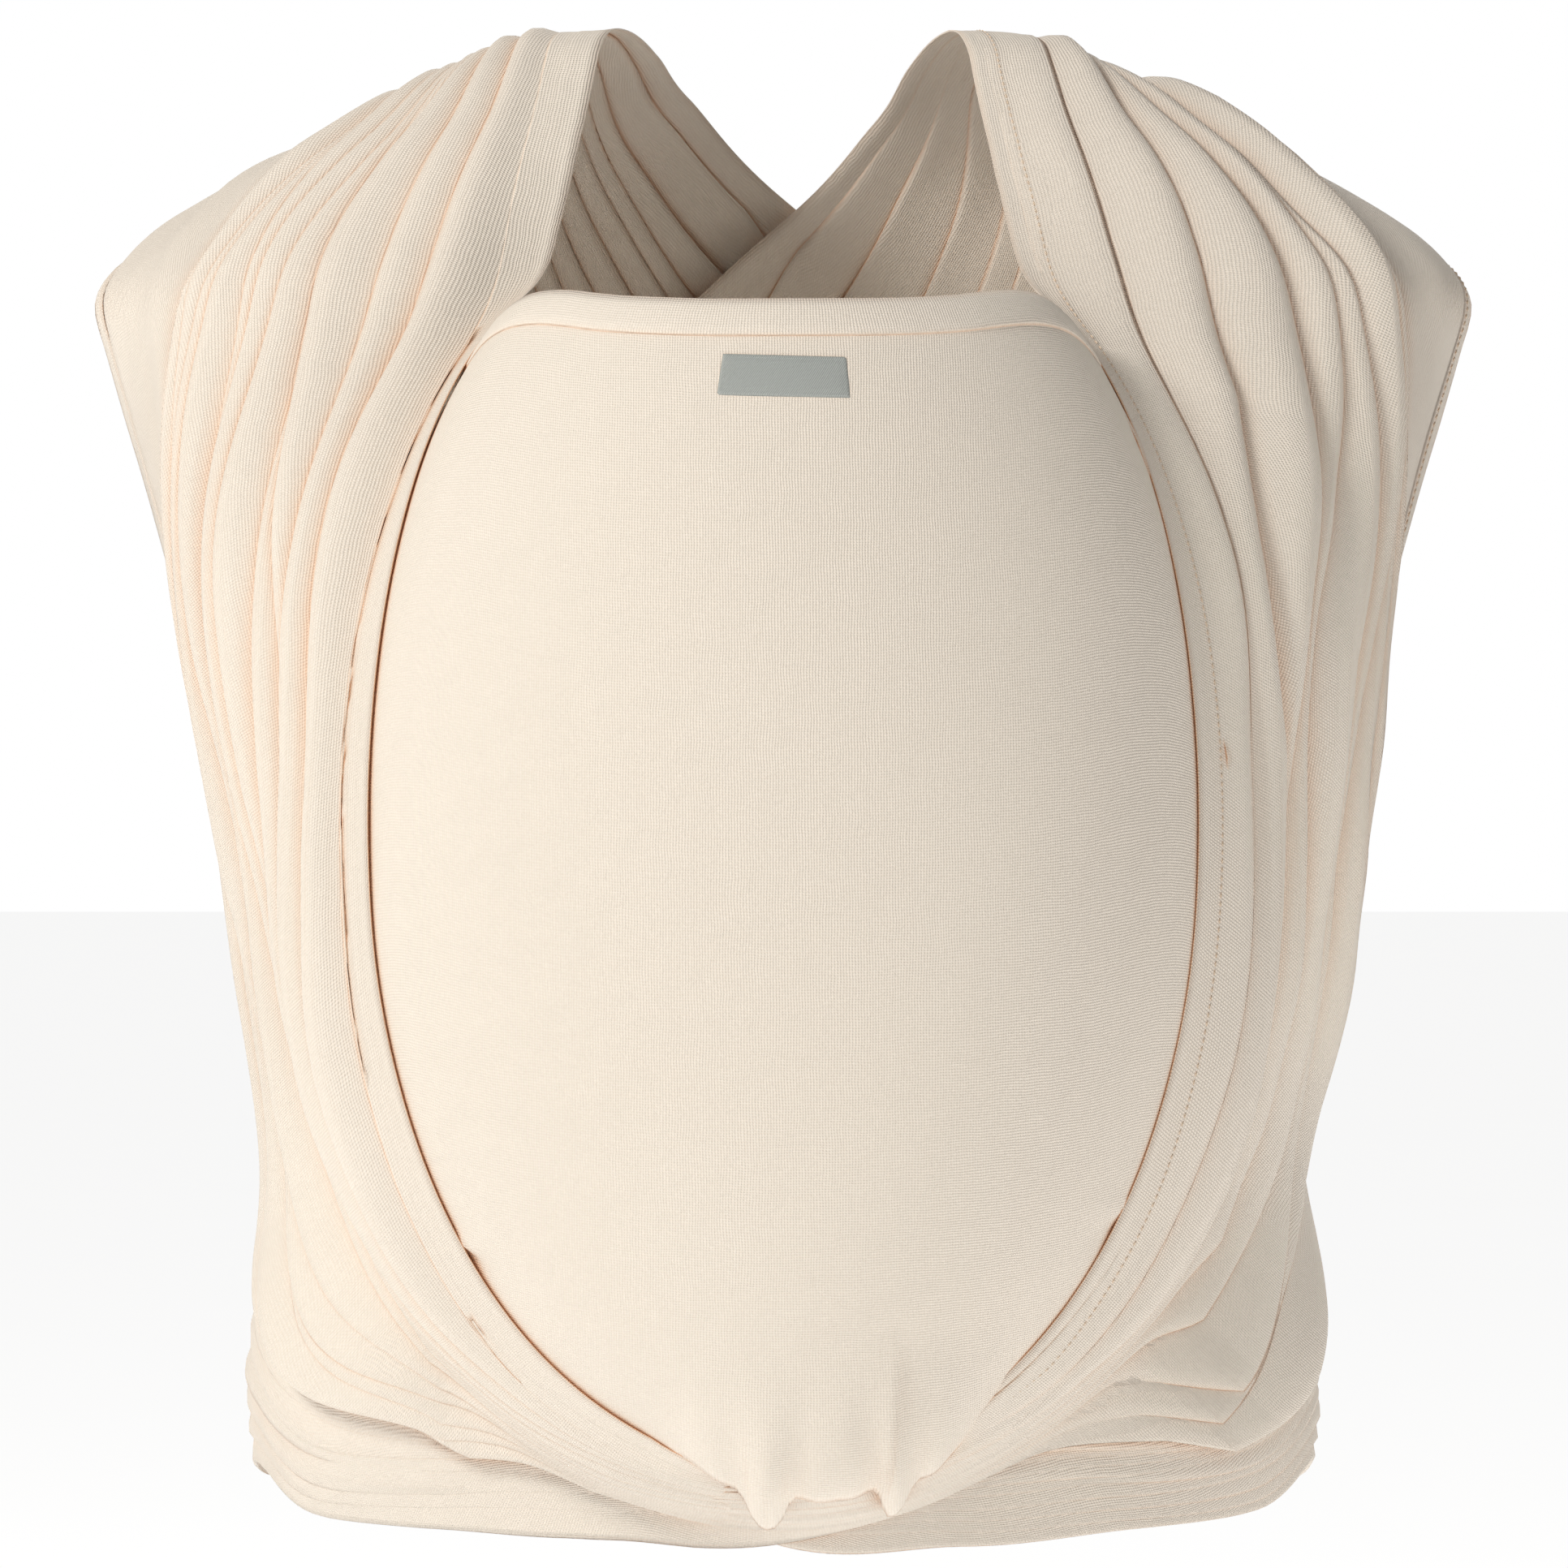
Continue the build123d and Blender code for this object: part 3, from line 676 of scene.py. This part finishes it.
def cloth_material(name):
    """Undyed cotton in a fine broken twill, with warm painted shade in its creases."""
    nodes = Nodes(name)
    uv, weave = weave_height(nodes, WEAVE_REPEAT)
    shade = nodes.math("MULTIPLY_ADD", weave, -0.22, 0.28)
    slub = nodes.math("SUBTRACT", nodes.noise(uv, 900.0, 1.0), 0.5)
    shade = nodes.math("ADD", shade, nodes.math("MULTIPLY", slub, 0.35))
    shade.node.use_clamp = True
    colour = nodes.mix(shade, CLOTH_LIGHT, CLOTH_DARK)
    place = nodes.add("ShaderNodeTexCoord").outputs["Object"]
    patches = nodes.math("MULTIPLY", nodes.noise(place, 9.0, 3.0), 0.16)
    colour = nodes.mix(patches, colour, CLOTH_DARK)
    # painted shade: where ambient occlusion finds cloth close by, the colour is mixed towards the warm
    # crease shade
    crease_occlusion = nodes.add("ShaderNodeAmbientOcclusion", samples=6)
    crease_occlusion.inputs["Distance"].default_value = PAINTED_SHADE_REACH
    painted_shade = nodes.math("SUBTRACT", 1.0, crease_occlusion.outputs["AO"])
    painted_shade = nodes.math("MULTIPLY", painted_shade, 1.15)
    painted_shade.node.use_clamp = True
    colour = nodes.mix(painted_shade, colour, PAINTED_CREASE_SHADE)
    nodes.feed("Base Color", colour)
    fuzz = nodes.noise(uv, 2600.0, 2.0)
    normal = nodes.bump(fuzz, 0.00012, 0.5)
    normal = nodes.bump(weave, 0.00022, 0.75, normal)
    nodes.feed("Normal", normal)
    nodes.feed("Roughness", nodes.math("MULTIPLY_ADD", weave, -0.05, 0.84))
    nodes.shader.inputs["Sheen Weight"].default_value = 0.12
    nodes.shader.inputs["Sheen Roughness"].default_value = 0.5
    nodes.shader.inputs["Specular IOR Level"].default_value = 0.2
    return nodes.material


def thread_material(name, light, dark):
    """Twisted sewing thread."""
    nodes = Nodes(name)
    place = nodes.add("ShaderNodeTexCoord").outputs["Object"]
    twist = nodes.noise(place, 1800.0, 2.0)
    nodes.feed("Base Color", nodes.mix(twist, light, dark))
    nodes.feed("Normal", nodes.bump(twist, 0.0001, 0.6))
    nodes.feed("Roughness", nodes.math("MULTIPLY_ADD", twist, 0.2, 0.6))
    return nodes.material


def label_material(name):
    """Grey woven satin with fine slanted ribs."""
    nodes = Nodes(name)
    uv = nodes.add("ShaderNodeUVMap", uv_map="Cloth").outputs[0]
    split = nodes.add("ShaderNodeSeparateXYZ")
    nodes.link(uv, split.inputs[0])
    along, down = split.outputs[0], split.outputs[1]
    slant = nodes.math("ADD", along, nodes.math("MULTIPLY", down, RIB_SLANT))
    ribs = nodes.math("SINE", nodes.math("MULTIPLY", slant, TURN / RIB_PITCH))
    threads = nodes.math("SINE", nodes.math("MULTIPLY", down, 2 * TURN / RIB_PITCH))
    height = nodes.math("ADD", ribs, nodes.math("MULTIPLY", threads, 0.5))
    shade = nodes.math("MULTIPLY_ADD", height, 0.2, 0.5)
    speckle = nodes.math("MULTIPLY", nodes.noise(uv, 1500.0), 0.4)
    shade = nodes.math("ADD", shade, nodes.math("SUBTRACT", speckle, 0.2))
    shade.node.use_clamp = True
    nodes.feed("Base Color", nodes.mix(shade, (0.27, 0.285, 0.265), (0.42, 0.435, 0.41)))
    nodes.feed("Normal", nodes.bump(height, 0.0001, 0.7))
    nodes.feed("Roughness", nodes.math("MULTIPLY_ADD", shade, 0.15, 0.42))
    return nodes.material


# ---- Pieces ----


def side_name(side):
    """The wearer's side."""
    return "left" if side > 0 else "right"


def settle(piece, material, node):
    """Gives a piece of the root its material, hides the part it stands for and hangs it under the root.
    """
    piece.data.materials.append(material)
    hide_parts(node)
    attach(piece, "root")


def bend_with_cap(piece):
    """Bakes the piece's placement into its mesh."""
    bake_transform(piece)


def make_half(side, cloth, thread):
    """One half of the cloth, from beside the panel to the knot, with its two rows of stitches."""
    here, there = side_name(side), side_name(-side)
    layer = "outer" if side > 0 else "inner"
    points, coordinates, part, place = half_cloth(side)
    piece = grid_mesh(f"{here}_wrap_cloth", points, coordinates)
    thicken(piece)
    piece.data.materials.append(cloth)
    normals = outward(points)
    rows = []
    for which in (INNER_HEM, OUTER_HEM):
        columns = [j for j in range(len(part)) if part[j] == which and place[j] < 1.0]
        column = max(columns, key=lambda j: place[j])
        rows.append((points[:, column], normals[:, column]))
    seam = stitches(f"{here}_hem_stitches", rows)
    seam.data.materials.append(thread)
    runs = ("back_pass", "shoulder_pass", "front_strap")
    nodes = [f"{here}_{run}" for run in runs]
    nodes += [f"{there}_side_pass", f"{layer}_seat_cross", f"{there}_waist_pass"]
    nodes += [f"{here}_shoulder_cap"]
    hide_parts(*nodes)
    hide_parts(f"{here}_cap_stitching")
    for each, slot in ((piece, "cloth"), (seam, "thread")):
        bend_with_cap(each)


# (x, y, z of the panel's top edge, then of its bottom edge) from the middle to the left, in millimetres
PANEL_SIDE = (
    (0, -150, 426, 0, -76, 28),
    (52, -136, 426, 64, -80, 29),
    (98, -86, 426, 112, -92, 54),
    (135, -58, 415, 150, -58, 80),
)
PANEL_MIRROR = np.array((-1, 1, 1, -1, 1, 1))
PANEL_GUIDES = np.concatenate((np.array(PANEL_SIDE[:0:-1]) * PANEL_MIRROR, PANEL_SIDE))
PANEL_LIFT = 1 * MM
PANEL_COLUMNS = 240
PANEL_ROWS = 230
PANEL_CROWDING = 0.92  # below 1, the rows are closer together lower down
FOLD_ROWS = 30
TUCK_HEIGHT = 43 * MM  # where the panel goes under the straps in the middle
TUCK_RISE = 2.6  # how fast that place rises to the sides
# How far the panel hangs over the straps between the gathers, and from where to where across
HANG = 3 * MM
HANG_SPAN = (-30 * MM, 60 * MM)
HANG_EASE = (16 * MM, 14 * MM)
# (x of the tip, how far it hangs, half width) of the two gathers under the seat
DRIPS = ((-6 * MM, 13 * MM, 6.5 * MM), (37 * MM, 10 * MM, 5 * MM))
# (place of a fold of a gather over its half width, height of the fold)
DRIP_FOLDS = ((0, 2.2 * MM), (1.5, -1.4 * MM), (-1.5, -1.2 * MM), (2.9, 0.7 * MM), (-2.9, 0.6 * MM))
DRIPS_MIDDLE = 15 * MM
DRIPS_HALF = 44 * MM  # to where the panel no longer hangs over the straps
DRIP_FRONT = 14 * MM  # height of the gathers above the form
DRIP_REACH = 42 * MM  # how far up the panel they can be seen
# (x, z, length, depth) of the pinched folds at the panel's sides
PINCHES = (
    (-108 * MM, 112 * MM, 26 * MM, 1.3 * MM),
    (118 * MM, 124 * MM, 24 * MM, 1.1 * MM),
)
PINCH_WIDTH = 2.2 * MM
PINCH_SPREAD = 0.25  # how fast a pinched fold widens and drops on its way in


def panel_rails(places):
    """Directions of the panel's top and bottom edge at these places, counted in guides."""
    guides = [(i, *guide) for i, guide in enumerate(PANEL_GUIDES)]
    table = smooth_rows(guides, places) * MM
    return unit(table[:, :3] - CENTRE), unit(table[:, 3:] - CENTRE)


def panel_trial(top, bottom, steps):
    """The form under the panel at equal turns down it: the shares of the turn and the points."""
    shares = np.tile(np.linspace(0, 1, steps), (len(top), 1))
    directions = turn_between(top, bottom, shares)
    return shares, CENTRE + directions * form_reach(directions, 0.0)[..., None]


def panel_end(shares, surface):
    """For each column: the share at which it tucks under the straps, how far it hangs over
    them there, and how much in front of them it is."""
    tuck, hang, over = np.zeros((3, PANEL_COLUMNS, 1))
    for i in range(PANEL_COLUMNS):
        low = TUCK_HEIGHT + TUCK_RISE * surface[i, :, 0] ** 2
        below = np.nonzero(surface[i, :, 2] < low)[0]
        end = below[0] if len(below) else -1
        x = surface[i, end, 0]
        near = np.clip((x - HANG_SPAN[0]) / HANG_EASE[0], 0, 1)
        near = near * np.clip((HANG_SPAN[1] - x) / HANG_EASE[1], 0, 1)
        tuck[i] = shares[i, end]
        hang[i] = HANG * smooth_step(near)
        for tip, drop, half in DRIPS:
            hang[i] += drop * math.exp(-(((x - tip) / half) ** 4))
        over[i] = math.exp(-(((x - DRIPS_MIDDLE) / DRIPS_HALF) ** 4))
    return tuck, hang, over


def panel_relief(points, near_tip):
    """Height of the folds of the gathers and of the pinched folds at the panel's sides."""
    x, z = points[..., 0], points[..., 2]
    relief = np.zeros_like(x)
    fading = np.ones_like(x)
    fading[:, : near_tip.shape[1]] = near_tip**1.5
    fading[:, -FOLD_ROWS:] = 0.0
    for tip, _, half in DRIPS:
        for offset, depth in DRIP_FOLDS:
            line = tip + offset * half * (1 + 0.35 * (1 - fading))
            relief += depth * fading * np.exp(-(((x - line) / (0.75 * half)) ** 2))
    for at_x, at_z, length, depth in PINCHES:
        inward = (at_x - x) * math.copysign(1.0, at_x)
        fade = np.clip(1 - inward / length, 0, 1) ** 1.5
        spread = PINCH_WIDTH + PINCH_SPREAD * np.maximum(inward, 0)
        away = (z - at_z + PINCH_SPREAD * inward) / spread
        relief += depth * fade * (np.exp(-((away - 0.8) ** 2)) - 1.2 * np.exp(-(away + 0.8) ** 2))
    return relief


def panel_grid():
    """The taut cloth over the baby: rows go down from the top edge, columns from right to left."""
    top, bottom = panel_rails(np.linspace(0, len(PANEL_GUIDES) - 1, PANEL_COLUMNS))
    trial, surface = panel_trial(top, bottom, 120)
    length = distances(surface, 1).sum(axis=1)[:, None]
    tuck, hang, over = panel_end(trial, surface)
    tip = tuck + hang / length

    # down the front to the tip, back up behind it, level, and on down under the straps
    front = np.linspace(0, 1, PANEL_ROWS - 3 * FOLD_ROWS)[None, :] ** PANEL_CROWDING
    back = np.linspace(0, 1, FOLD_ROWS + 1)[None, 1:]
    level = np.zeros((PANEL_COLUMNS, FOLD_ROWS))
    runs = (front * tip, tip + (tuck - tip) * back, tuck + level, tuck + (1 - tuck) * back)
    shares = np.maximum(np.concatenate(runs, axis=1), 0)
    to_tuck = np.maximum(tuck - front * tip, 0) * length
    near_tip = smooth_step(np.clip(1 - to_tuck / DRIP_REACH, 0, 1))
    high = (DRIP_FRONT - PANEL_LIFT) * over
    behind = high * (1 - 0.10 * np.sin(math.pi * back / 2))
    under = high * 0.90 * (0.5 + 0.5 * np.cos(math.pi * back))
    rise = np.concatenate((high * near_tip, behind, under, level), axis=1)

    directions = turn_between(top, bottom, shares)
    rows = np.linspace(0, 1, PANEL_COLUMNS)[:, None]
    rise = rise + wander(rows, shares, PANEL_SEED, 0.12 * MM, along=3.0, across=2.0)
    points = CENTRE + directions * (form_reach(directions, 0.0) + PANEL_LIFT + rise)[..., None]
    points = points + directions * panel_relief(points, near_tip)[..., None]
    down = running_length(distances(points, 1), axis=1)
    side_steps = running_length(distances(surface, 0))
    side_steps = side_steps - side_steps[PANEL_COLUMNS // 2]
    across = [np.interp(shares[i], trial[i], side_steps[i]) for i in range(PANEL_COLUMNS)]
    return points, np.stack((np.array(across), down), axis=-1)


def make_panel(cloth, thread):
    """The panel, the folded hem along its top edge and the hem's stitches."""
    points, coordinates = panel_grid()
    normals = outward(points)
    panel = grid_mesh("front_panel_cloth", points, coordinates)
    thicken(panel)
    settle(panel, cloth, "front_panel")
    down = coordinates[..., 1]
    steps = np.array((0.0, 0.25, 0.5, 0.75, 0.93, 1.0)) * PANEL_HEM
    rises = np.array((0.2, 0.9, 0.95, 0.95, 0.85, 0.1)) * MM
    seam_column = 4
    hem_points = np.zeros((PANEL_COLUMNS, len(steps), 3))
    hem_normals = np.zeros_like(hem_points)
    for i in range(PANEL_COLUMNS):
        for k in range(3):
            hem_points[i, :, k] = np.interp(steps, down[i], points[i, :, k])
            hem_normals[i, :, k] = np.interp(steps, down[i], normals[i, :, k])
    hem_points = hem_points + hem_normals * rises[None, :, None]
    hem_cloth = np.zeros((PANEL_COLUMNS, len(steps), 2))
    hem_cloth[..., 0] = coordinates[:, :1, 0]
    hem_cloth[..., 1] = steps
    hem = grid_mesh("panel_hem_fold", hem_points, hem_cloth)
    thicken(hem)
    settle(hem, cloth, "panel_top_hem")
    seam = stitches("panel_hem_stitches", [(hem_points[:, seam_column], hem_normals[:, seam_column])])
    settle(seam, thread, "panel_hem_stitching")


LABEL_WIDTH = 42 * MM
LABEL_HEIGHT = 14.5 * MM
LABEL_DROP = 20.5 * MM  # from the panel's top edge to the label's top edge
LABEL_TILT = math.radians(1.5)
LABEL_RISE = 0.75 * MM
LABEL_STEP = 6  # the step down the panel, of 100, that is level with the label
LABEL_THICKNESS = 0.35 * MM
LABEL_SEAM = 1.4 * MM  # from the label's edge to its stitches
LABEL_ROUNDING = 0.5 * MM


def on_panel(side, down, rise):
    """Points over the panel, this far along and down its cloth from the top edge's middle."""
    places = np.linspace(2, 4, 41)
    surface = panel_trial(*panel_rails(places), 100)[1]
    length = distances(surface, 1).sum(axis=1)
    where = np.interp(side.ravel(), surface[:, LABEL_STEP, 0], places)
    share = down.ravel() / np.interp(where, places, length)
    direction = turn_between(*panel_rails(where), share[:, None])
    direction = direction[:, 0].reshape(*side.shape, 3)
    placed = CENTRE + direction * (form_reach(direction, 0.0) + PANEL_LIFT + rise)[..., None]
    return placed, direction


def on_label(u, v, rise):
    """Points on the tilted label, this far from its middle."""
    side = u * math.cos(LABEL_TILT) - v * math.sin(LABEL_TILT)
    down = v * math.cos(LABEL_TILT) + u * math.sin(LABEL_TILT) + LABEL_DROP + LABEL_HEIGHT / 2
    return on_panel(side, down, rise)


def make_label(label, thread):
    """The blank woven label: a strip sewn flat under the hem, with stitches all round."""
    u = np.linspace(-1, 1, 64)[:, None] * LABEL_WIDTH / 2
    v = np.linspace(-1, 1, 26)[None, :] * LABEL_HEIGHT / 2
    u, v = np.broadcast_arrays(u, v)
    edge = np.minimum(LABEL_WIDTH / 2 - np.abs(u), LABEL_HEIGHT / 2 - np.abs(v))
    groove = np.exp(-(((edge - LABEL_SEAM) / LABEL_ROUNDING) ** 2))
    rise = LABEL_RISE * (0.35 + 0.65 * np.clip(edge / LABEL_ROUNDING, 0, 1)) - 0.2 * MM * groove
    grid = on_label(u, v, rise)[0]
    patch = grid_mesh("woven_label", grid, np.stack((u, v), axis=-1))
    thicken(patch, LABEL_THICKNESS)
    settle(patch, label, "label")
    half_width, half_height = LABEL_WIDTH / 2 - LABEL_SEAM, LABEL_HEIGHT / 2 - LABEL_SEAM
    corners = [(-half_width, -half_height), (half_width, -half_height)]
    corners += [(half_width, half_height), (-half_width, half_height)]
    share = np.linspace(0, 1, 40)
    lines = []
    for start, end in zip(corners, corners[1:] + corners[:1]):
        x = start[0] + (end[0] - start[0]) * share
        y = start[1] + (end[1] - start[1]) * share
        lines.append(on_label(x, y, np.full(len(share), 0.85 * LABEL_RISE)))
    seam = stitches("label_stitches", lines)
    settle(seam, thread, "label_stitching")


# ---- Knot and tails ----
KNOT_RIDGES = 9
KNOT_ROWS = 110
STEPS_PER_RIDGE = 14
# (half width, half depth) of the gathered cloth along one turn of the knot
KNOT_SIZES = (
    (15 * MM, 6 * MM),
    (15 * MM, 9 * MM),
    (15.5 * MM, 11 * MM),
    (15 * MM, 10 * MM),
    (13 * MM, 8 * MM),
    (11 * MM, 6 * MM),
)
TAIL_ROOT = (16 * MM, 148 * MM, 70 * MM)  # where the left tail leaves the knot
TAIL_FOLDS = 3
TAIL_ROWS = 60
STEPS_PER_TAIL_FOLD = 26
TAIL_TOP_WIDTH = 26 * MM
TAIL_SLANT = 12 * MM  # how much higher its hem is at the outside
TAIL_LAP = 12 * MM
TAIL_DEPTH = 7.5 * MM


def gathered_rope(name, path, sizes, twist, seed):
    """Cloth gathered into a closed rope along a smooth path, with a ridge for each fold."""
    rows, around = KNOT_ROWS, KNOT_RIDGES * STEPS_PER_RIDGE
    keys = np.linspace(0, 1, len(path))
    table = [(key, *point, *size) for key, point, size in zip(keys, path, sizes)]
    values = smooth_rows(table, np.linspace(0, 1, rows))
    middle, wide, deep = values[:, :3], values[:, 3:4], values[:, 4:5]
    run = unit(np.gradient(middle, axis=0))
    back = np.array((0.0, 1.0, 0.0)) + 0 * run
    side = unit(np.cross(run, back))
    front = unit(np.cross(side, run))
    along = np.linspace(0, 1, rows)[:, None]
    angle = np.linspace(0, TURN, around, endpoint=False)[None, :]
    phase = KNOT_RIDGES * (angle + twist * along + 0.25 * np.sin(4 * along + seed))
    ridge = 0.86 + 0.20 * np.abs(np.sin(phase / 2)) ** 0.7
    ridge = ridge + 0.05 * np.sin(2 * angle + 6 * along + seed)
    x = np.cos(angle) * wide * ridge
    y = np.sin(angle) * deep * ridge
    points = middle[:, None] + side[:, None] * x[..., None] + front[:, None] * y[..., None]
    index = np.arange(rows * around).reshape(rows, around)
    following = np.roll(index, -1, axis=1)
    quads = np.stack((index[:-1], index[1:], following[1:], following[:-1]), axis=-1)
    corners = np.concatenate((points.reshape(-1, 3), middle[[0, -1]]))
    start, end = rows * around, rows * around + 1
    faces = quads.reshape(-1, 4).tolist()
    faces += [(start, index[0, j], following[0, j]) for j in range(around)]
    faces += [(end, following[-1, j], index[-1, j]) for j in range(around)]
    length = running_length(distances(middle, 0))[:, None] + 0 * angle
    coordinates = np.stack((length, angle * 0.03 + 0 * along), axis=-1).reshape(-1, 2)
    coordinates = np.concatenate((coordinates, coordinates[[0, -1]]))
    return cloth_mesh(name, corners, faces, coordinates)


def make_knot(cloth):
    """The two turns of the knot at the lower back, each going on into its tail."""
    for side in (-1, 1):
        here = side_name(side)
        low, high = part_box(f"{here}_knot_turn")
        middle_y, middle_z = (low[1] + high[1]) / 2, (low[2] + high[2]) / 2
        across = side * high[0]
        path = (
            (-1.02 * across, low[1] + 4 * MM, middle_z + 4 * MM),
            (-0.6 * across, middle_y, middle_z + 4 * MM),
            (0.0, middle_y + 3 * MM, middle_z + 3 * MM),
            (0.55 * across, middle_y, middle_z - 4 * MM),
            (0.62 * across, middle_y - 4 * MM, middle_z - 16 * MM),
            (side * (TAIL_ROOT[0] + 1 * MM), *TAIL_ROOT[1:]),
        )
        turn = gathered_rope(f"{here}_knot_cloth", path, KNOT_SIZES, 1.1 * side, seed=side)
        settle(turn, cloth, f"{here}_knot_turn")


def make_tail(side, cloth):
    """One free end: gathered at the knot, opening towards its slanted hem."""
    here = side_name(side)
    low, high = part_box(f"{here}_tail")
    inner, outer = (low[0], high[0]) if side > 0 else (high[0], low[0])
    down = np.linspace(0, 1, TAIL_ROWS)[:, None]
    across = np.linspace(0, 1, TAIL_FOLDS * STEPS_PER_TAIL_FOLD + 1)[None, :]
    top_outer = inner + side * TAIL_TOP_WIDTH
    edge = top_outer + (outer - top_outer) * down**0.9
    uneven = across + 0.07 * np.sin(TURN * across * 1.3 + 1.6 * side) + 0.05 * down * across
    wave = 0.5 - 0.5 * np.cos(TURN * TAIL_FOLDS * uneven)
    lap = TAIL_LAP * (1 - 0.75 * down) * np.sin(math.pi * np.clip(across * 1.02, 0, 1)) ** 0.3
    x = inner + (edge - inner) * across * 0.9 + side * lap * wave
    fold = TAIL_DEPTH * (1 - 0.45 * down) * wave * (0.8 + 0.3 * np.sin(5.1 * across + 2 * side))
    curl = 1.5 * MM * np.sin(5 * down + 4 * across)
    y = (low[1] + high[1]) / 2 - 3 * MM + fold + curl
    top = high[2] - 1 * MM
    z = top + (low[2] + TAIL_SLANT * across - top) * down
    points = np.stack(np.broadcast_arrays(x, y, z), axis=-1)
    steps = running_length(distances(points, 1), axis=1)
    length = np.broadcast_to(down * (high[2] - low[2]), steps.shape)
    piece = grid_mesh(f"{here}_tail_cloth", points, np.stack((length, steps), axis=-1))
    thicken(piece, CLOTH_THICKNESS, 0.0)
    piece.data.materials.append(cloth)
    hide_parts(f"{here}_tail")
    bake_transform(piece)


# ---- Camera, light and floor ----
CAMERA_HEIGHT = 0.268
CAMERA_DISTANCE = 2.2
FRAME_WIDTH = 0.5603
SENSOR = 36.0  # in millimetres, as Blender wants it
LIGHT_AIM = np.array((0.0, -0.05, 0.27))
SURROUNDINGS = 0.24  # strength of the light from all round
FLOOR_HALF = 30.0
FLOOR_HEIGHT = -0.4
FLOOR_GLOW = 0.7


def make_camera():
    """The camera stands level, straight in front."""
    camera = bpy.data.cameras.new("camera")
    camera.sensor_width = SENSOR
    camera.lens = SENSOR * CAMERA_DISTANCE / FRAME_WIDTH
    camera.clip_end = 2 * FLOOR_HALF
    holder = add_object("camera", camera)
    holder.location = (0.0, -CAMERA_DISTANCE, CAMERA_HEIGHT)
    holder.rotation_euler = (math.radians(90), 0.0, 0.0)
    bpy.context.scene.camera = holder


def make_light(name, place, size, power, colour=(1.0, 1.0, 1.0)):
    """A soft square light that faces the middle of the sling."""
    lamp = bpy.data.lights.new(name, "AREA")
    lamp.size = size
    lamp.energy = power
    lamp.color = colour
    holder = add_object(name, lamp)
    holder.location = place
    aim = LIGHT_AIM - np.array(place)
    side_turn = math.atan2(aim[0], -aim[1])
    tilt = math.acos(-aim[2] / np.linalg.norm(aim))
    holder.rotation_euler = (tilt, 0.0, math.pi + side_turn)


def make_world():
    """White surroundings that light the sling from all sides."""
    world = bpy.data.worlds.new("studio")
    bpy.context.scene.world = world
    world.use_nodes = True
    tree = world.node_tree
    fill = tree.nodes["Background"]
    fill.inputs["Color"].default_value = (1.0, 0.995, 0.985, 1.0)
    fill.inputs["Strength"].default_value = SURROUNDINGS
    white = tree.nodes.new("ShaderNodeBackground")
    white.inputs["Color"].default_value = (1.0, 1.0, 1.0, 1.0)
    white.inputs["Strength"].default_value = 1.0
    path = tree.nodes.new("ShaderNodeLightPath")
    mix = tree.nodes.new("ShaderNodeMixShader")
    tree.links.new(path.outputs["Is Camera Ray"], mix.inputs["Fac"])
    tree.links.new(fill.outputs[0], mix.inputs[1])
    tree.links.new(white.outputs[0], mix.inputs[2])
    tree.links.new(mix.outputs[0], tree.nodes["World Output"].inputs["Surface"])


def make_floor():
    """A plain pale floor, well below the sling."""
    mesh = bpy.data.meshes.new("floor")
    corners = ((-1, -1), (1, -1), (1, 1), (-1, 1))
    corners = [(FLOOR_HALF * x, FLOOR_HALF * y, FLOOR_HEIGHT) for x, y in corners]
    mesh.from_pydata(corners, [], [(0, 1, 2, 3)])
    floor = add_object("floor", mesh)
    nodes = Nodes("floor")
    place = nodes.add("ShaderNodeTexCoord").outputs["Object"]
    grain = nodes.noise(place, 3.0)
    colour = nodes.mix(grain, (0.93, 0.93, 0.93), (0.95, 0.95, 0.95))
    nodes.feed("Base Color", colour)
    nodes.shader.inputs["Roughness"].default_value = 1.0
    nodes.shader.inputs["Emission Color"].default_value = (1.0, 1.0, 1.0, 1.0)
    nodes.shader.inputs["Emission Strength"].default_value = FLOOR_GLOW
    mesh.materials.append(nodes.material)


bpy.context.scene.view_settings.view_transform = "Standard"
make_camera()
make_light("key", (-1.8, -1.4, 1.9), 0.9, 60.0, (1.0, 0.99, 0.97))
make_light("fill", (2.0, -1.5, 0.3), 1.8, 8.0)
make_light("back", (0.3, 1.8, 1.4), 1.4, 18.0)
make_world()
make_floor()

cotton = cloth_material("natural_cotton")
sewing = thread_material("cotton_thread", (0.82, 0.70, 0.55), (0.62, 0.47, 0.32))
grey_satin = label_material("grey_satin")
grey_thread = thread_material("grey_thread", (0.62, 0.63, 0.60), (0.42, 0.43, 0.40))

for side in (1, -1):
    make_half(side, cotton, sewing)
make_panel(cotton, sewing)
make_label(grey_satin, grey_thread)
make_knot(cotton)
for side in (1, -1):
    make_tail(side, cotton)
